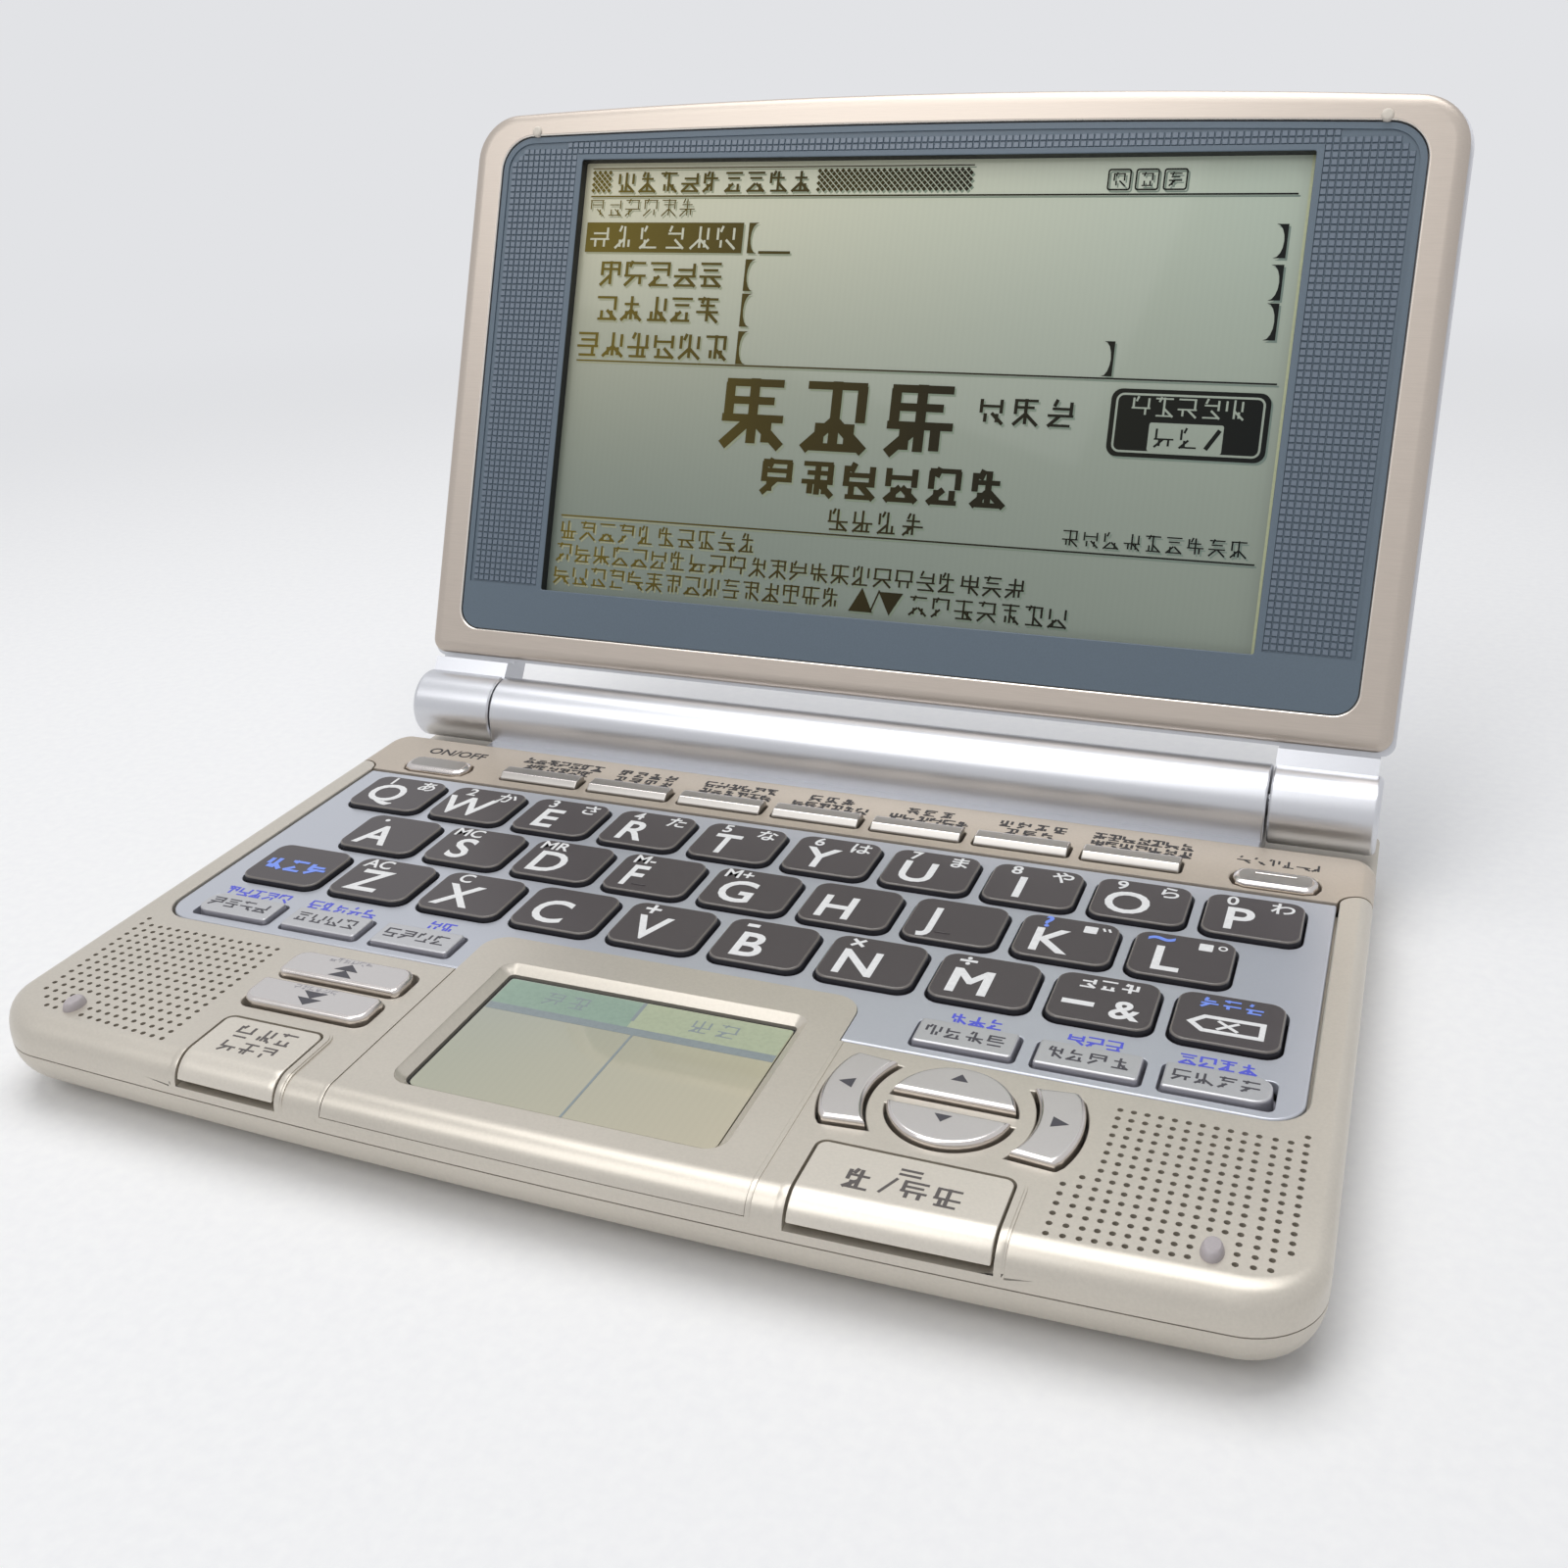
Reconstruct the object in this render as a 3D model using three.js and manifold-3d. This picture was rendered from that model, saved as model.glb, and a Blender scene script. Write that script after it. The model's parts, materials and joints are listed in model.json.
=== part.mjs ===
import * as THREE from 'three';
import { mergeVertices } from 'three/addons/utils/BufferGeometryUtils.js';
import Module from 'manifold-3d';

// Electronic dictionary with a clamshell lid. The base holds the keys and a small writing
// display, the lid holds the main display, and a barrel at the rear carries the hinge.
// Lengths are in millimetres. X runs to the right, Y from the user to the hinge, and Z up from
// the surface that the feet stand on. While the pieces are made, Y = 0 is the middle of the top
// row of letter keys; the finished group is moved so that its box is centred on the origin.

const wasm = await Module();
wasm.setup();

// Driving dimensions
const bodyWidth = 149;
const frontBow = 1.5;
const frontCorner = 8;
const rearCorner = 3;
const rowPitch = 11.95;
const palmDepth = 26.6;
const stripDepth = 13.4;
const deckTop = 11.3;
const keyRaise = 0.55;
const partingDrop = 4.3;
const undersideHeight = 0.7;
const axisBehindDeck = 9;
const bodyBehindAxis = 8.3;
const axisRaise = 2.2;
const barrelRadius = 5.4;
const lidTilt = THREE.MathUtils.degToRad(67.6);
const lidOverhang = 0.4;
const lidShortfall = 0.6;
const lidAboveBarrel = 2.5;
const lidBow = 1.7;
const lidThickness = 6.2;
const lidFace = 0.6;

// Sizes that many pieces share
const gap = 0.3;
const overrun = 1;
const deckThickness = 1.5;
const shellWall = 1.4;
const plateSink = 0.15;
const plateThickness = 1.35;
const keyTravel = 0.8;
const flangeThickness = 0.7;
const domeHeight = 0.5;
const matThickness = 0.6;
const boardThickness = 1;

// Heights of the layers, from the deck down
const keyTop = deckTop + keyRaise;
const partingHeight = deckTop - partingDrop;
const axisHeight = deckTop + axisRaise;
const deckUnderside = deckTop - deckThickness;
const plateTop = deckTop - plateSink;
const plateUnderside = plateTop - plateThickness;
const flangeTop = plateUnderside - gap;
const flangeBottom = flangeTop - flangeThickness;
const matTop = flangeBottom - keyTravel - gap - domeHeight;
const boardTop = matTop - matThickness - gap;
const boardUnderside = boardTop - boardThickness;

// How finely round stretches are stepped
const cornerSteps = 3;
const capSteps = 2;
const windowSteps = 1;
const domeSteps = 6;
const bowSteps = 8;
const filletSteps = 3;
const barrelSteps = 24;
const roundSteps = 16;

const finish = {
  champagne: { color: 0xcdc4b6, roughness: 0.38, metalness: 0.35 },
  stripChampagne: { color: 0xc3b8a9, roughness: 0.42, metalness: 0.35 },
  blueGrey: { color: 0xc3c8d2, roughness: 0.4, metalness: 0.3 },
  charcoal: { color: 0x4a4643, roughness: 0.45, metalness: 0 },
  keyGrey: { color: 0xa9a9ac, roughness: 0.5, metalness: 0.1 },
  silver: { color: 0xc8c9ce, roughness: 0.28, metalness: 0.8 },
  slate: { color: 0x5d6674, roughness: 0.5, metalness: 0 },
  brushed: { color: 0xb8a89a, roughness: 0.35, metalness: 0.6 },
  liquidCrystal: { color: 0x9dac9c, roughness: 0.12, metalness: 0 },
  darkPlastic: { color: 0x2b2c2f, roughness: 0.6, metalness: 0 },
  rubber: { color: 0x8e9194, roughness: 0.8, metalness: 0 },
  board: { color: 0x2f6b45, roughness: 0.6, metalness: 0 },
  steel: { color: 0xb9bbbd, roughness: 0.3, metalness: 1 },
  cell: { color: 0x6f7f96, roughness: 0.35, metalness: 0.6 },
};

// Solids

function loft(rings) {
  const count = rings[0].length;
  const positions = rings.flat().flatMap((point) => point.toArray());
  const indices = [];
  for (let level = 0; level + 1 < rings.length; level += 1) {
    for (let i = 0; i < count; i += 1) {
      const a = level * count + i;
      const b = level * count + ((i + 1) % count);
      indices.push(a, b, b + count, a, b + count, a + count);
    }
  }
  const first = flatten(rings[0]);
  for (const [a, b, c] of THREE.ShapeUtils.triangulateShape(first, [])) {
    indices.push(a, c, b);
  }
  const last = flatten(rings[rings.length - 1]);
  const offset = (rings.length - 1) * count;
  for (const [a, b, c] of THREE.ShapeUtils.triangulateShape(last, [])) {
    indices.push(offset + a, offset + b, offset + c);
  }
  const geometry = new THREE.BufferGeometry();
  geometry.setAttribute('position', new THREE.Float32BufferAttribute(positions, 3));
  geometry.setIndex(indices);
  return solidOf(geometry);
}

// A ring lies across X or across Z, and this gives its points in its own plane.
function flatten(ring) {
  const acrossX = ring.every((point) => point.x === ring[0].x);
  return ring.map((point) => (acrossX
    ? new THREE.Vector2(point.y, point.z)
    : new THREE.Vector2(point.x, point.y)));
}

function solidOf(source) {
  const bare = source.clone();
  bare.deleteAttribute('normal');
  bare.deleteAttribute('uv');
  const merged = mergeVertices(bare);
  const index = Uint32Array.from(merged.index.array);
  return new wasm.Manifold(new wasm.Mesh({
    numProp: 3,
    vertProperties: Float32Array.from(merged.attributes.position.array),
    triVerts: index,
  }));
}

function geometryOf(solid) {
  const mesh = solid.getMesh();
  const geometry = new THREE.BufferGeometry();
  geometry.setAttribute('position', new THREE.BufferAttribute(mesh.vertProperties, 3));
  geometry.setIndex(new THREE.BufferAttribute(mesh.triVerts, 1));
  geometry.computeVertexNormals();
  return geometry;
}

function join(solids) {
  return solids.reduce((whole, solid) => whole.add(solid));
}

function cut(solid, tools) {
  return tools.reduce((whole, tool) => whole.subtract(tool), solid);
}

function prism(outline, bottom, top) {
  return loft([bottom, top].map((z) => outline.map(([x, y]) => new THREE.Vector3(x, y, z))));
}

function bar(profile, left, right) {
  return loft([left, right].map((x) => profile.map(([y, z]) => new THREE.Vector3(x, y, z))));
}

function box(x, y, z) {
  return prism([[x[0], y[0]], [x[1], y[0]], [x[1], y[1]], [x[0], y[1]]], z[0], z[1]);
}

// Outlines

function arc(centreX, centreY, radiusX, radiusY, from, to, steps) {
  const points = [];
  for (let i = 0; i <= steps; i += 1) {
    const angle = THREE.MathUtils.degToRad(from + (to - from) * (i / steps));
    points.push([centreX + radiusX * Math.cos(angle), centreY + radiusY * Math.sin(angle)]);
  }
  return points;
}

function circle(centreX, centreY, radius, steps) {
  return arc(centreX, centreY, radius, radius, 0, 360, steps).slice(0, steps);
}

// Corners run anticlockwise from the rear right one. Each has its own radius.
function roundedRectangle(x, y, radii, steps = cornerSteps) {
  const [rearRight, rearLeft, frontLeft, frontRight] = radii;
  return [
    ...arc(x[1] - rearRight, y[1] - rearRight, rearRight, rearRight, 0, 90, steps),
    ...arc(x[0] + rearLeft, y[1] - rearLeft, rearLeft, rearLeft, 90, 180, steps),
    ...arc(x[0] + frontLeft, y[0] + frontLeft, frontLeft, frontLeft, 180, 270, steps),
    ...arc(x[1] - frontRight, y[0] + frontRight, frontRight, frontRight, 270, 360, steps),
  ];
}

function evenRectangle(x, y, radius) {
  return roundedRectangle(x, y, [radius, radius, radius, radius]);
}

function span(centre, size, grow = 0) {
  return [centre - size / 2 - grow, centre + size / 2 + grow];
}

// A rounded rectangle whose far side bows outward. Far is up when far is above near, and down
// when it is below. The insets shrink the corners about fixed centres.
function bowedOutline(shape, inset) {
  const direction = Math.sign(shape.far - shape.near);
  const far = shape.far * direction;
  const near = shape.near * direction;
  const cornerX = shape.halfWidth - shape.farCorner;
  const farRadii = [shape.farCorner - inset.side, shape.farCorner - inset.far];
  const nearX = shape.halfWidth - shape.nearCorner;
  const nearRadii = [shape.nearCorner - inset.side, shape.nearCorner - inset.near];
  const farCentre = far - shape.farCorner;
  const nearCentre = near + shape.nearCorner;
  const bow = [];
  for (let i = 1; i < bowSteps; i += 1) {
    const share = 1 - (2 * i) / bowSteps;
    bow.push([cornerX * share, far - inset.far + shape.bow * (1 - share * share)]);
  }
  const points = [
    ...arc(-nearX, nearCentre, ...nearRadii, 180, 270, cornerSteps),
    ...arc(nearX, nearCentre, ...nearRadii, 270, 360, cornerSteps),
    ...arc(cornerX, farCentre, ...farRadii, 0, 90, cornerSteps),
    ...bow,
    ...arc(-cornerX, farCentre, ...farRadii, 90, 180, cornerSteps),
  ];
  if (direction > 0) {
    return points;
  }
  return points.map(([x, y]) => [x, -y]).reverse();
}

function stack(shape, levels) {
  return loft(levels.map((level) => bowedOutline(shape, level)
    .map(([x, y]) => new THREE.Vector3(x, y, level.z))));
}

// Plan of the keyboard. The plate lies between two rails, the letter keys share its width, and
// a row of small keys lies in front of the three letter rows.
const railWidth = 4.2;
const keyboard = {
  halfWidth: bodyWidth / 2 - railWidth,
  leftMargin: 9.61,
  rightMargin: 9.21,
  rearMargin: 2.27,
  frontMargin: 1.5,
  keySpacing: 1.54,
  rowSpacing: 1.67,
  softKeyDepth: 5,
  softKeyAhead: 4.05,
  keysInRow: 10,
  letterRows: 3,
};
const firstKeyX = keyboard.leftMargin - keyboard.halfWidth;
const lastKeyX = keyboard.halfWidth - keyboard.rightMargin;
const keyPitch = (lastKeyX - firstKeyX) / (keyboard.keysInRow - 1);
const capWidth = keyPitch - keyboard.keySpacing;
const capDepth = rowPitch - keyboard.rowSpacing;
const lastRowFront = -(keyboard.letterRows - 1) * rowPitch - capDepth / 2;
const softKeyRear = lastRowFront - keyboard.softKeyAhead;
const plateFront = softKeyRear - keyboard.softKeyDepth - keyboard.frontMargin;
const plateRear = capDepth / 2 + keyboard.rearMargin;

// Places along the depth, from the plate's edges out
const frontEdge = plateFront - palmDepth;
const deckRear = plateRear + stripDepth;
const axisY = deckRear + axisBehindDeck;
const bodyRear = axisY + bodyBehindAxis;

// Base shell: a deck with rolled front and softened sides, split from the lower case
const deckShape = {
  halfWidth: bodyWidth / 2,
  near: deckRear,
  far: frontEdge,
  nearCorner: rearCorner,
  farCorner: frontCorner,
  bow: frontBow,
};
const frontRoll = 4;
const sideRound = 1.6;
const rearRound = 0.6;
const skirtBottom = partingHeight + gap;

// Levels of a quarter round at the top edge, deeper at the front than at the sides.
function rolledLevels(bottom, top) {
  const levels = [{ z: bottom, side: 0, near: 0, far: 0 }];
  for (let i = 0; i <= filletSteps + 1; i += 1) {
    const drop = frontRoll * (1 - Math.sin((Math.PI / 2) * (i / (filletSteps + 1))));
    levels.push({
      z: top - drop,
      side: quarterInset(sideRound, drop),
      near: quarterInset(rearRound, drop),
      far: quarterInset(frontRoll, drop),
    });
  }
  return levels;
}

function quarterInset(radius, drop) {
  const reach = Math.max(radius - drop, 0);
  return radius - Math.sqrt(radius * radius - reach * reach);
}

function deckBlock(raise) {
  return stack(deckShape, rolledLevels(skirtBottom, deckTop + raise));
}

function deckHollow() {
  const inset = { side: shellWall, near: shellWall, far: shellWall };
  const corner = { side: sideRound + shellWall, near: shellWall, far: frontRoll + shellWall / 2 };
  return stack(deckShape, [
    { z: skirtBottom - overrun, ...inset },
    { z: deckTop - frontRoll, ...inset },
    { z: deckUnderside, ...corner },
  ]);
}

const deckShell = deckBlock(0).subtract(deckHollow());

// Small grey keys in front of the letters: three on each side of the writing panel
const softKey = {
  closer: 0.28,
  spacing: 1.9,
  leftShift: 0.19,
  rightShift: 0.37,
  perSide: 3,
  corner: 0.6,
  roundEnd: 2,
  raise: 0.45,
  webDepth: 2.4,
};
const softPitch = keyPitch - softKey.closer;
const softKeyWidth = softPitch - softKey.spacing;
const softKeyReach = (softKey.perSide - 1) * softPitch;
const firstSoftLeft = firstKeyX - softKey.leftShift;
const firstSoftRight = lastKeyX + softKey.rightShift - softKeyReach;

// Speakers: a shallow basket with a magnet, one under each grille
const speaker = {
  radius: 8,
  fromSide: 14.2,
  fromPlate: 12.9,
  clearance: 2,
  basket: 1.2,
  magnetShare: 0.52,
  depth: 3.4,
  coneDepth: 0.6,
  rim: 1.4,
};
const speakerX = bodyWidth / 2 - speaker.fromSide;

// Arrow keys: two half discs between two crescents
const arrow = {
  besidePanel: 1.7,
  ahead: 8.7,
  discRadius: 6.5,
  slot: 2.2,
  outerRadius: 13.4,
  innerRadius: 11,
  innerMiddle: 8.8,
  halfHeight: 5.9,
  tipCut: 0.8,
  raise: 0.9,
  chamfer: 0.4,
};

// Writing panel: a strip of deck that runs over the front roll, with a bevelled window
const writing = {
  leftMargin: 2.8,
  intoPlate: 8.1,
  corner: 3,
  lipDrop: 2.1,
  windowLeftMargin: 5.6,
  windowRightMargin: 5.2,
  windowFrontMargin: 5.4,
  windowRearMargin: 5.7,
  windowCorner: 1.5,
  bevel: 1,
  moduleMargin: 2,
  moduleThickness: 2,
};
const panelLeft = firstSoftLeft + softKeyReach + softKeyWidth / 2 + writing.leftMargin;
const arrowRight = speakerX - speaker.radius - speaker.clearance;
const panelRight = arrowRight - 2 * arrow.outerRadius - arrow.besidePanel;
const panelRear = plateFront + writing.intoPlate;
const lipHeight = deckTop - writing.lipDrop;
const writingWindowX = [panelLeft + writing.windowLeftMargin, panelRight - writing.windowRightMargin];
const writingWindowY = [frontEdge + writing.windowFrontMargin, panelRear - writing.windowRearMargin];

function writingOutline(grow) {
  const x = [panelLeft - grow, panelRight + grow];
  const y = [frontEdge - frontBow - overrun, panelRear + grow];
  const rear = writing.corner + grow;
  const front = gap + grow / 2;
  return roundedRectangle(x, y, [rear, rear, front, front]);
}

// Keyboard plate and the opening it lies in
const plate = {
  corner: 4,
  ledge: 0.45,
  ledgeThickness: 1.1,
};
const windowCorner = 1;

function plateOutline(grow) {
  const x = [-keyboard.halfWidth - grow, keyboard.halfWidth + grow];
  const y = [plateFront - grow, plateRear + grow];
  const rear = Math.max(gap + grow / 2, gap / 2);
  const front = plate.corner + grow;
  return roundedRectangle(x, y, [rear, rear, front, front]);
}

// Rear strip: the browner part of the deck behind the keyboard, with a tongue between the rails
const strip = {
  shoulderBehind: 2.8,
  railRound: 2.4,
};

function stripOutline(grow) {
  const outer = bodyWidth / 2 + overrun;
  const rear = bodyRear + overrun;
  const inner = keyboard.halfWidth + gap;
  const centreX = inner + strip.railRound;
  const centreY = plateRear + strip.shoulderBehind - gap - strip.railRound;
  const radius = strip.railRound + gap - grow;
  const front = plateRear + gap - grow;
  const start = THREE.MathUtils.radToDeg(Math.asin(Math.min((front - centreY) / radius, 1)));
  const right = arc(centreX, centreY, radius, radius, 180 - start, 90, cornerSteps);
  const left = right.map(([x, y]) => [-x, y]).reverse();
  const shoulder = plateRear + strip.shoulderBehind - grow;
  return [...left, ...right, [outer, shoulder], [outer, rear], [-outer, rear], [-outer, shoulder]];
}

// Keys. A cap is a stack of rounded rectangles: flange under the plate, body, shoulder and top.
const cap = {
  corner: 2,
  draft: 0.2,
  chamfer: 0.3,
  flange: 0.55,
};

function capRing(centre, size, grow, z) {
  const x = span(centre[0], size.width, grow);
  const y = span(centre[1], size.depth, grow);
  const radii = size.corners.map((radius) => Math.max(radius + grow, cap.chamfer / 2));
  return roundedRectangle(x, y, radii, capSteps).map(([px, py]) => new THREE.Vector3(px, py, z));
}

function keyCap(centre, size) {
  const edge = cap.draft + cap.chamfer;
  return loft([
    capRing(centre, size, size.flange, size.bottom),
    capRing(centre, size, size.flange, flangeTop),
    capRing(centre, size, 0, flangeTop),
    capRing(centre, size, -cap.draft, size.top - cap.chamfer),
    capRing(centre, size, -edge, size.top),
  ]);
}

function capWindow(centre, size) {
  const x = span(centre[0], size.width, gap);
  const y = span(centre[1], size.depth, gap);
  const rounding = size.corners.map((radius) => Math.min(radius, windowCorner) + gap);
  const outline = roundedRectangle(x, y, rounding, windowSteps);
  return prism(outline, flangeTop - overrun, keyTop + overrun);
}

const letterSize = {
  width: capWidth,
  depth: capDepth,
  corners: Array(4).fill(cap.corner),
  flange: cap.flange,
  bottom: flangeBottom,
  top: keyTop,
};
const letterRows = [
  { indentShare: 0, names: ['q', 'w', 'e', 'r', 't', 'y', 'u', 'i', 'o', 'p'] },
  { indentShare: 0.5, names: ['a', 's', 'd', 'f', 'g', 'h', 'j', 'k', 'l'] },
  { indentShare: 0, names: ['shift', 'z', 'x', 'c', 'v', 'b', 'n', 'm', 'symbol', 'delete'] },
];
const letterKeys = letterRows.flatMap((row, rowIndex) => row.names.map((name, column) => ({
  name: `key_${name}`,
  centre: [firstKeyX + (column + row.indentShare) * keyPitch, -rowIndex * rowPitch],
  size: letterSize,
})));

// The outermost small key of each trio has rounder outer corners.
function softKeys(first, roundIndex, roundCorners) {
  return Array.from({ length: softKey.perSide }, (_, index) => ({
    centre: [first + index * softPitch, softKeyRear - keyboard.softKeyDepth / 2],
    size: {
      width: softKeyWidth,
      depth: keyboard.softKeyDepth,
      corners: [0, 1, 2, 3].map((corner) => (
        index === roundIndex && roundCorners.includes(corner) ? softKey.roundEnd : softKey.corner)),
      flange: gap,
      bottom: flangeBottom,
      top: deckTop + softKey.raise,
    },
  }));
}

const softKeysLeft = softKeys(firstSoftLeft, 0, [1, 2]);
const softKeysRight = softKeys(firstSoftRight, softKey.perSide - 1, [0, 3]);

// Top strip keys: on/off, seven function bars and the backlight key, on one web
const topKey = {
  barSpacing: 1.57,
  barDepth: 3.2,
  barBehindPlate: 3.8,
  barRaise: 0.7,
  barCorner: 0.5,
  barCount: 7,
  buttonWidth: 10.6,
  buttonDepth: 3.4,
  buttonBehindPlate: 3.6,
  buttonRaise: 0.6,
  buttonCorner: 1.5,
  onOffMargin: 9.9,
  backlightMargin: 7.5,
  afterOnOff: 18.15,
  beforeBacklight: 17.63,
  webDepth: 2,
};
const onOffX = topKey.onOffMargin - keyboard.halfWidth;
const backlightX = keyboard.halfWidth - topKey.backlightMargin;
const firstBarX = onOffX + topKey.afterOnOff;
const barPitch = (backlightX - topKey.beforeBacklight - firstBarX) / (topKey.barCount - 1);

function topKeys() {
  const bars = Array.from({ length: topKey.barCount }, (_, index) => ({
    centre: [firstBarX + index * barPitch, plateRear + topKey.barBehindPlate],
    size: {
      width: barPitch - topKey.barSpacing,
      depth: topKey.barDepth,
      corners: Array(4).fill(topKey.barCorner),
      flange: gap,
      bottom: flangeBottom,
      top: deckTop + topKey.barRaise,
    },
  }));
  const buttons = [onOffX, backlightX].map((x) => ({
    centre: [x, plateRear + topKey.buttonBehindPlate],
    size: {
      width: topKey.buttonWidth,
      depth: topKey.buttonDepth,
      corners: Array(4).fill(topKey.buttonCorner),
      flange: gap,
      bottom: flangeBottom,
      top: deckTop + topKey.buttonRaise,
    },
  }));
  return [...bars, ...buttons];
}

const topStripKeys = topKeys();

// The web runs under the deck from the first cap of a strip to its last.
function webbed(keys, webDepth) {
  const xs = keys.map((key) => key.centre[0]);
  const web = box(
    [Math.min(...xs), Math.max(...xs)],
    span(keys[0].centre[1], webDepth),
    [flangeBottom, flangeTop],
  );
  return join([web, ...keys.map((key) => keyCap(key.centre, key.size))]);
}

// Page keys: a pair, square where they face each other and rounded away from each other
const pageKey = {
  width: 16.6,
  depth: 5,
  besidePanel: 3.7,
  upShift: 0.4,
  ahead: 5.8,
  pitch: 6.5,
  outerCorner: 1.9,
  innerCorner: 0.8,
  raise: 0.9,
};
const pageKeyX = panelLeft - pageKey.besidePanel - pageKey.width / 2;
const pageUpY = plateFront - pageKey.ahead;

function pageSize(corners) {
  return {
    width: pageKey.width,
    depth: pageKey.depth,
    corners,
    flange: gap * 2,
    bottom: flangeBottom,
    top: deckTop + pageKey.raise,
  };
}

const pageKeys = [
  {
    name: 'key_page_up',
    centre: [pageKeyX + pageKey.upShift, pageUpY],
    size: pageSize([pageKey.outerCorner, pageKey.outerCorner, pageKey.innerCorner, pageKey.innerCorner]),
  },
  {
    name: 'key_page_down',
    centre: [pageKeyX, pageUpY - pageKey.pitch],
    size: pageSize([pageKey.innerCorner, pageKey.innerCorner, pageKey.outerCorner, pageKey.outerCorner]),
  },
];

// Arrow keys: their centre, beside the writing panel
const arrowX = arrowRight - arrow.outerRadius;
const arrowY = plateFront - arrow.ahead;

// The half disc is drawn upward; the down key is turned about the arrow centre.
function discOutline(grow) {
  const radius = arrow.discRadius + grow;
  const start = THREE.MathUtils.radToDeg(Math.asin((arrow.slot / 2 - grow) / radius));
  return arc(0, 0, radius, radius, start, 180 - start, 3 * cornerSteps);
}

// The crescent is drawn on the right; the left key is turned about the arrow centre.
function crescentOutline(grow) {
  const half = arrow.halfHeight + grow;
  const outer = arrow.outerRadius + grow;
  const inner = arrow.innerRadius + grow;
  const innerCentre = arrow.innerMiddle - arrow.innerRadius;
  const outerAngle = THREE.MathUtils.radToDeg(Math.asin((half - arrow.tipCut) / outer));
  const innerAngle = THREE.MathUtils.radToDeg(Math.asin((half - arrow.tipCut / 2) / inner));
  const outside = arc(0, 0, outer, outer, -outerAngle, outerAngle, cornerSteps + 1);
  const radius = inner - 2 * grow;
  const inside = arc(innerCentre, 0, radius, radius, innerAngle, -innerAngle, cornerSteps + 1);
  const tip = outside[outside.length - 1][0] - arrow.tipCut;
  return [...outside, [tip, half], ...inside, [tip, -half]];
}

const arrowKeys = [
  { name: 'key_up', outline: discOutline, turn: 1 },
  { name: 'key_down', outline: discOutline, turn: -1 },
  { name: 'key_right', outline: crescentOutline, turn: 1 },
  { name: 'key_left', outline: crescentOutline, turn: -1 },
];

function placedOutline(key, grow) {
  return key.outline(grow)
    .map(([x, y]) => [arrowX + key.turn * x, arrowY + key.turn * y]);
}

function arrowCap(key) {
  const ring = (grow, z) => placedOutline(key, grow).map(([x, y]) => new THREE.Vector3(x, y, z));
  return loft([
    ring(0, flangeBottom),
    ring(0, deckTop + arrow.raise - arrow.chamfer),
    ring(-arrow.chamfer, deckTop + arrow.raise),
  ]);
}

// Return and enter keys: slabs that follow the deck over its front roll
const frontKey = {
  depth: 8.9,
  raise: 0.3,
  corner: 1,
  travel: 0.6,
  returnShift: 0.8,
  returnWidth: 12.8,
  enterShift: 0.9,
  enterWidth: 19.6,
};
const frontKeyRear = frontEdge + frontKey.depth;
const frontKeys = [
  { name: 'key_return', centreX: pageKeyX - frontKey.returnShift, width: frontKey.returnWidth },
  { name: 'key_enter', centreX: arrowX - frontKey.enterShift, width: frontKey.enterWidth },
];

function frontKeyOutline(key, grow) {
  const front = frontEdge - frontBow - overrun;
  const corner = frontKey.corner + grow;
  return roundedRectangle(
    span(key.centreX, key.width, grow),
    [front, frontKeyRear + grow],
    [corner, corner, gap, gap],
  );
}

function frontKeyCap(key) {
  const column = prism(frontKeyOutline(key, 0), lipHeight, keyTop + overrun);
  return deckBlock(frontKey.raise).intersect(column);
}

function frontKeyOpening(key) {
  const bottom = lipHeight - frontKey.travel - gap;
  return prism(frontKeyOutline(key, gap), bottom, keyTop + overrun);
}

// Upper case
const bumper = {
  fromSide: 10.2,
  fromFront: 5.2,
  halfWidth: 1.1,
  halfDepth: 1.6,
  height: 1,
};

function bump(side) {
  const x = side * (bodyWidth / 2 - bumper.fromSide);
  const y = frontEdge + bumper.fromFront;
  const outline = arc(x, y, bumper.halfWidth, bumper.halfDepth, 0, 360, roundSteps / 2).slice(1);
  return prism(outline, deckUnderside, deckTop + bumper.height);
}

function upperCase() {
  const ledgeBottom = plateUnderside - gap - plate.ledgeThickness;
  const ledge = prism(plateOutline(gap + plate.ledge), ledgeBottom, deckUnderside + gap)
    .intersect(deckBlock(0))
    .subtract(prism(writingOutline(gap), ledgeBottom - overrun, deckTop));
  const keyboardOpening = prism(plateOutline(gap), plateUnderside - gap, deckTop + overrun);
  const ledgeOpening = prism(plateOutline(-plate.ledge), ledgeBottom - overrun, deckTop);
  const panelOpening = prism(writingOutline(gap), lipHeight - gap, deckTop + overrun);
  return cut(join([deckShell, ledge, bump(-1), bump(1)]), [
    prism(stripOutline(gap), skirtBottom - overrun, keyTop + overrun),
    keyboardOpening,
    ledgeOpening,
    panelOpening,
    ...pageKeys.map((key) => capWindow(key.centre, key.size)),
    ...arrowKeys.map((key) => prism(placedOutline(key, gap), ledgeBottom, keyTop)),
    ...frontKeys.map(frontKeyOpening),
  ]);
}

function rearStrip() {
  const whole = deckShell.intersect(prism(stripOutline(0), skirtBottom - overrun, keyTop));
  return cut(whole, topStripKeys.map((key) => capWindow(key.centre, key.size)));
}

function keyboardPlate() {
  const sheet = prism(plateOutline(0), plateUnderside, plateTop);
  const caps = [...letterKeys, ...softKeysLeft, ...softKeysRight];
  return cut(sheet, [
    prism(writingOutline(gap), plateUnderside - overrun, plateTop + overrun),
    ...caps.map((key) => capWindow(key.centre, key.size)),
  ]);
}

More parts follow.
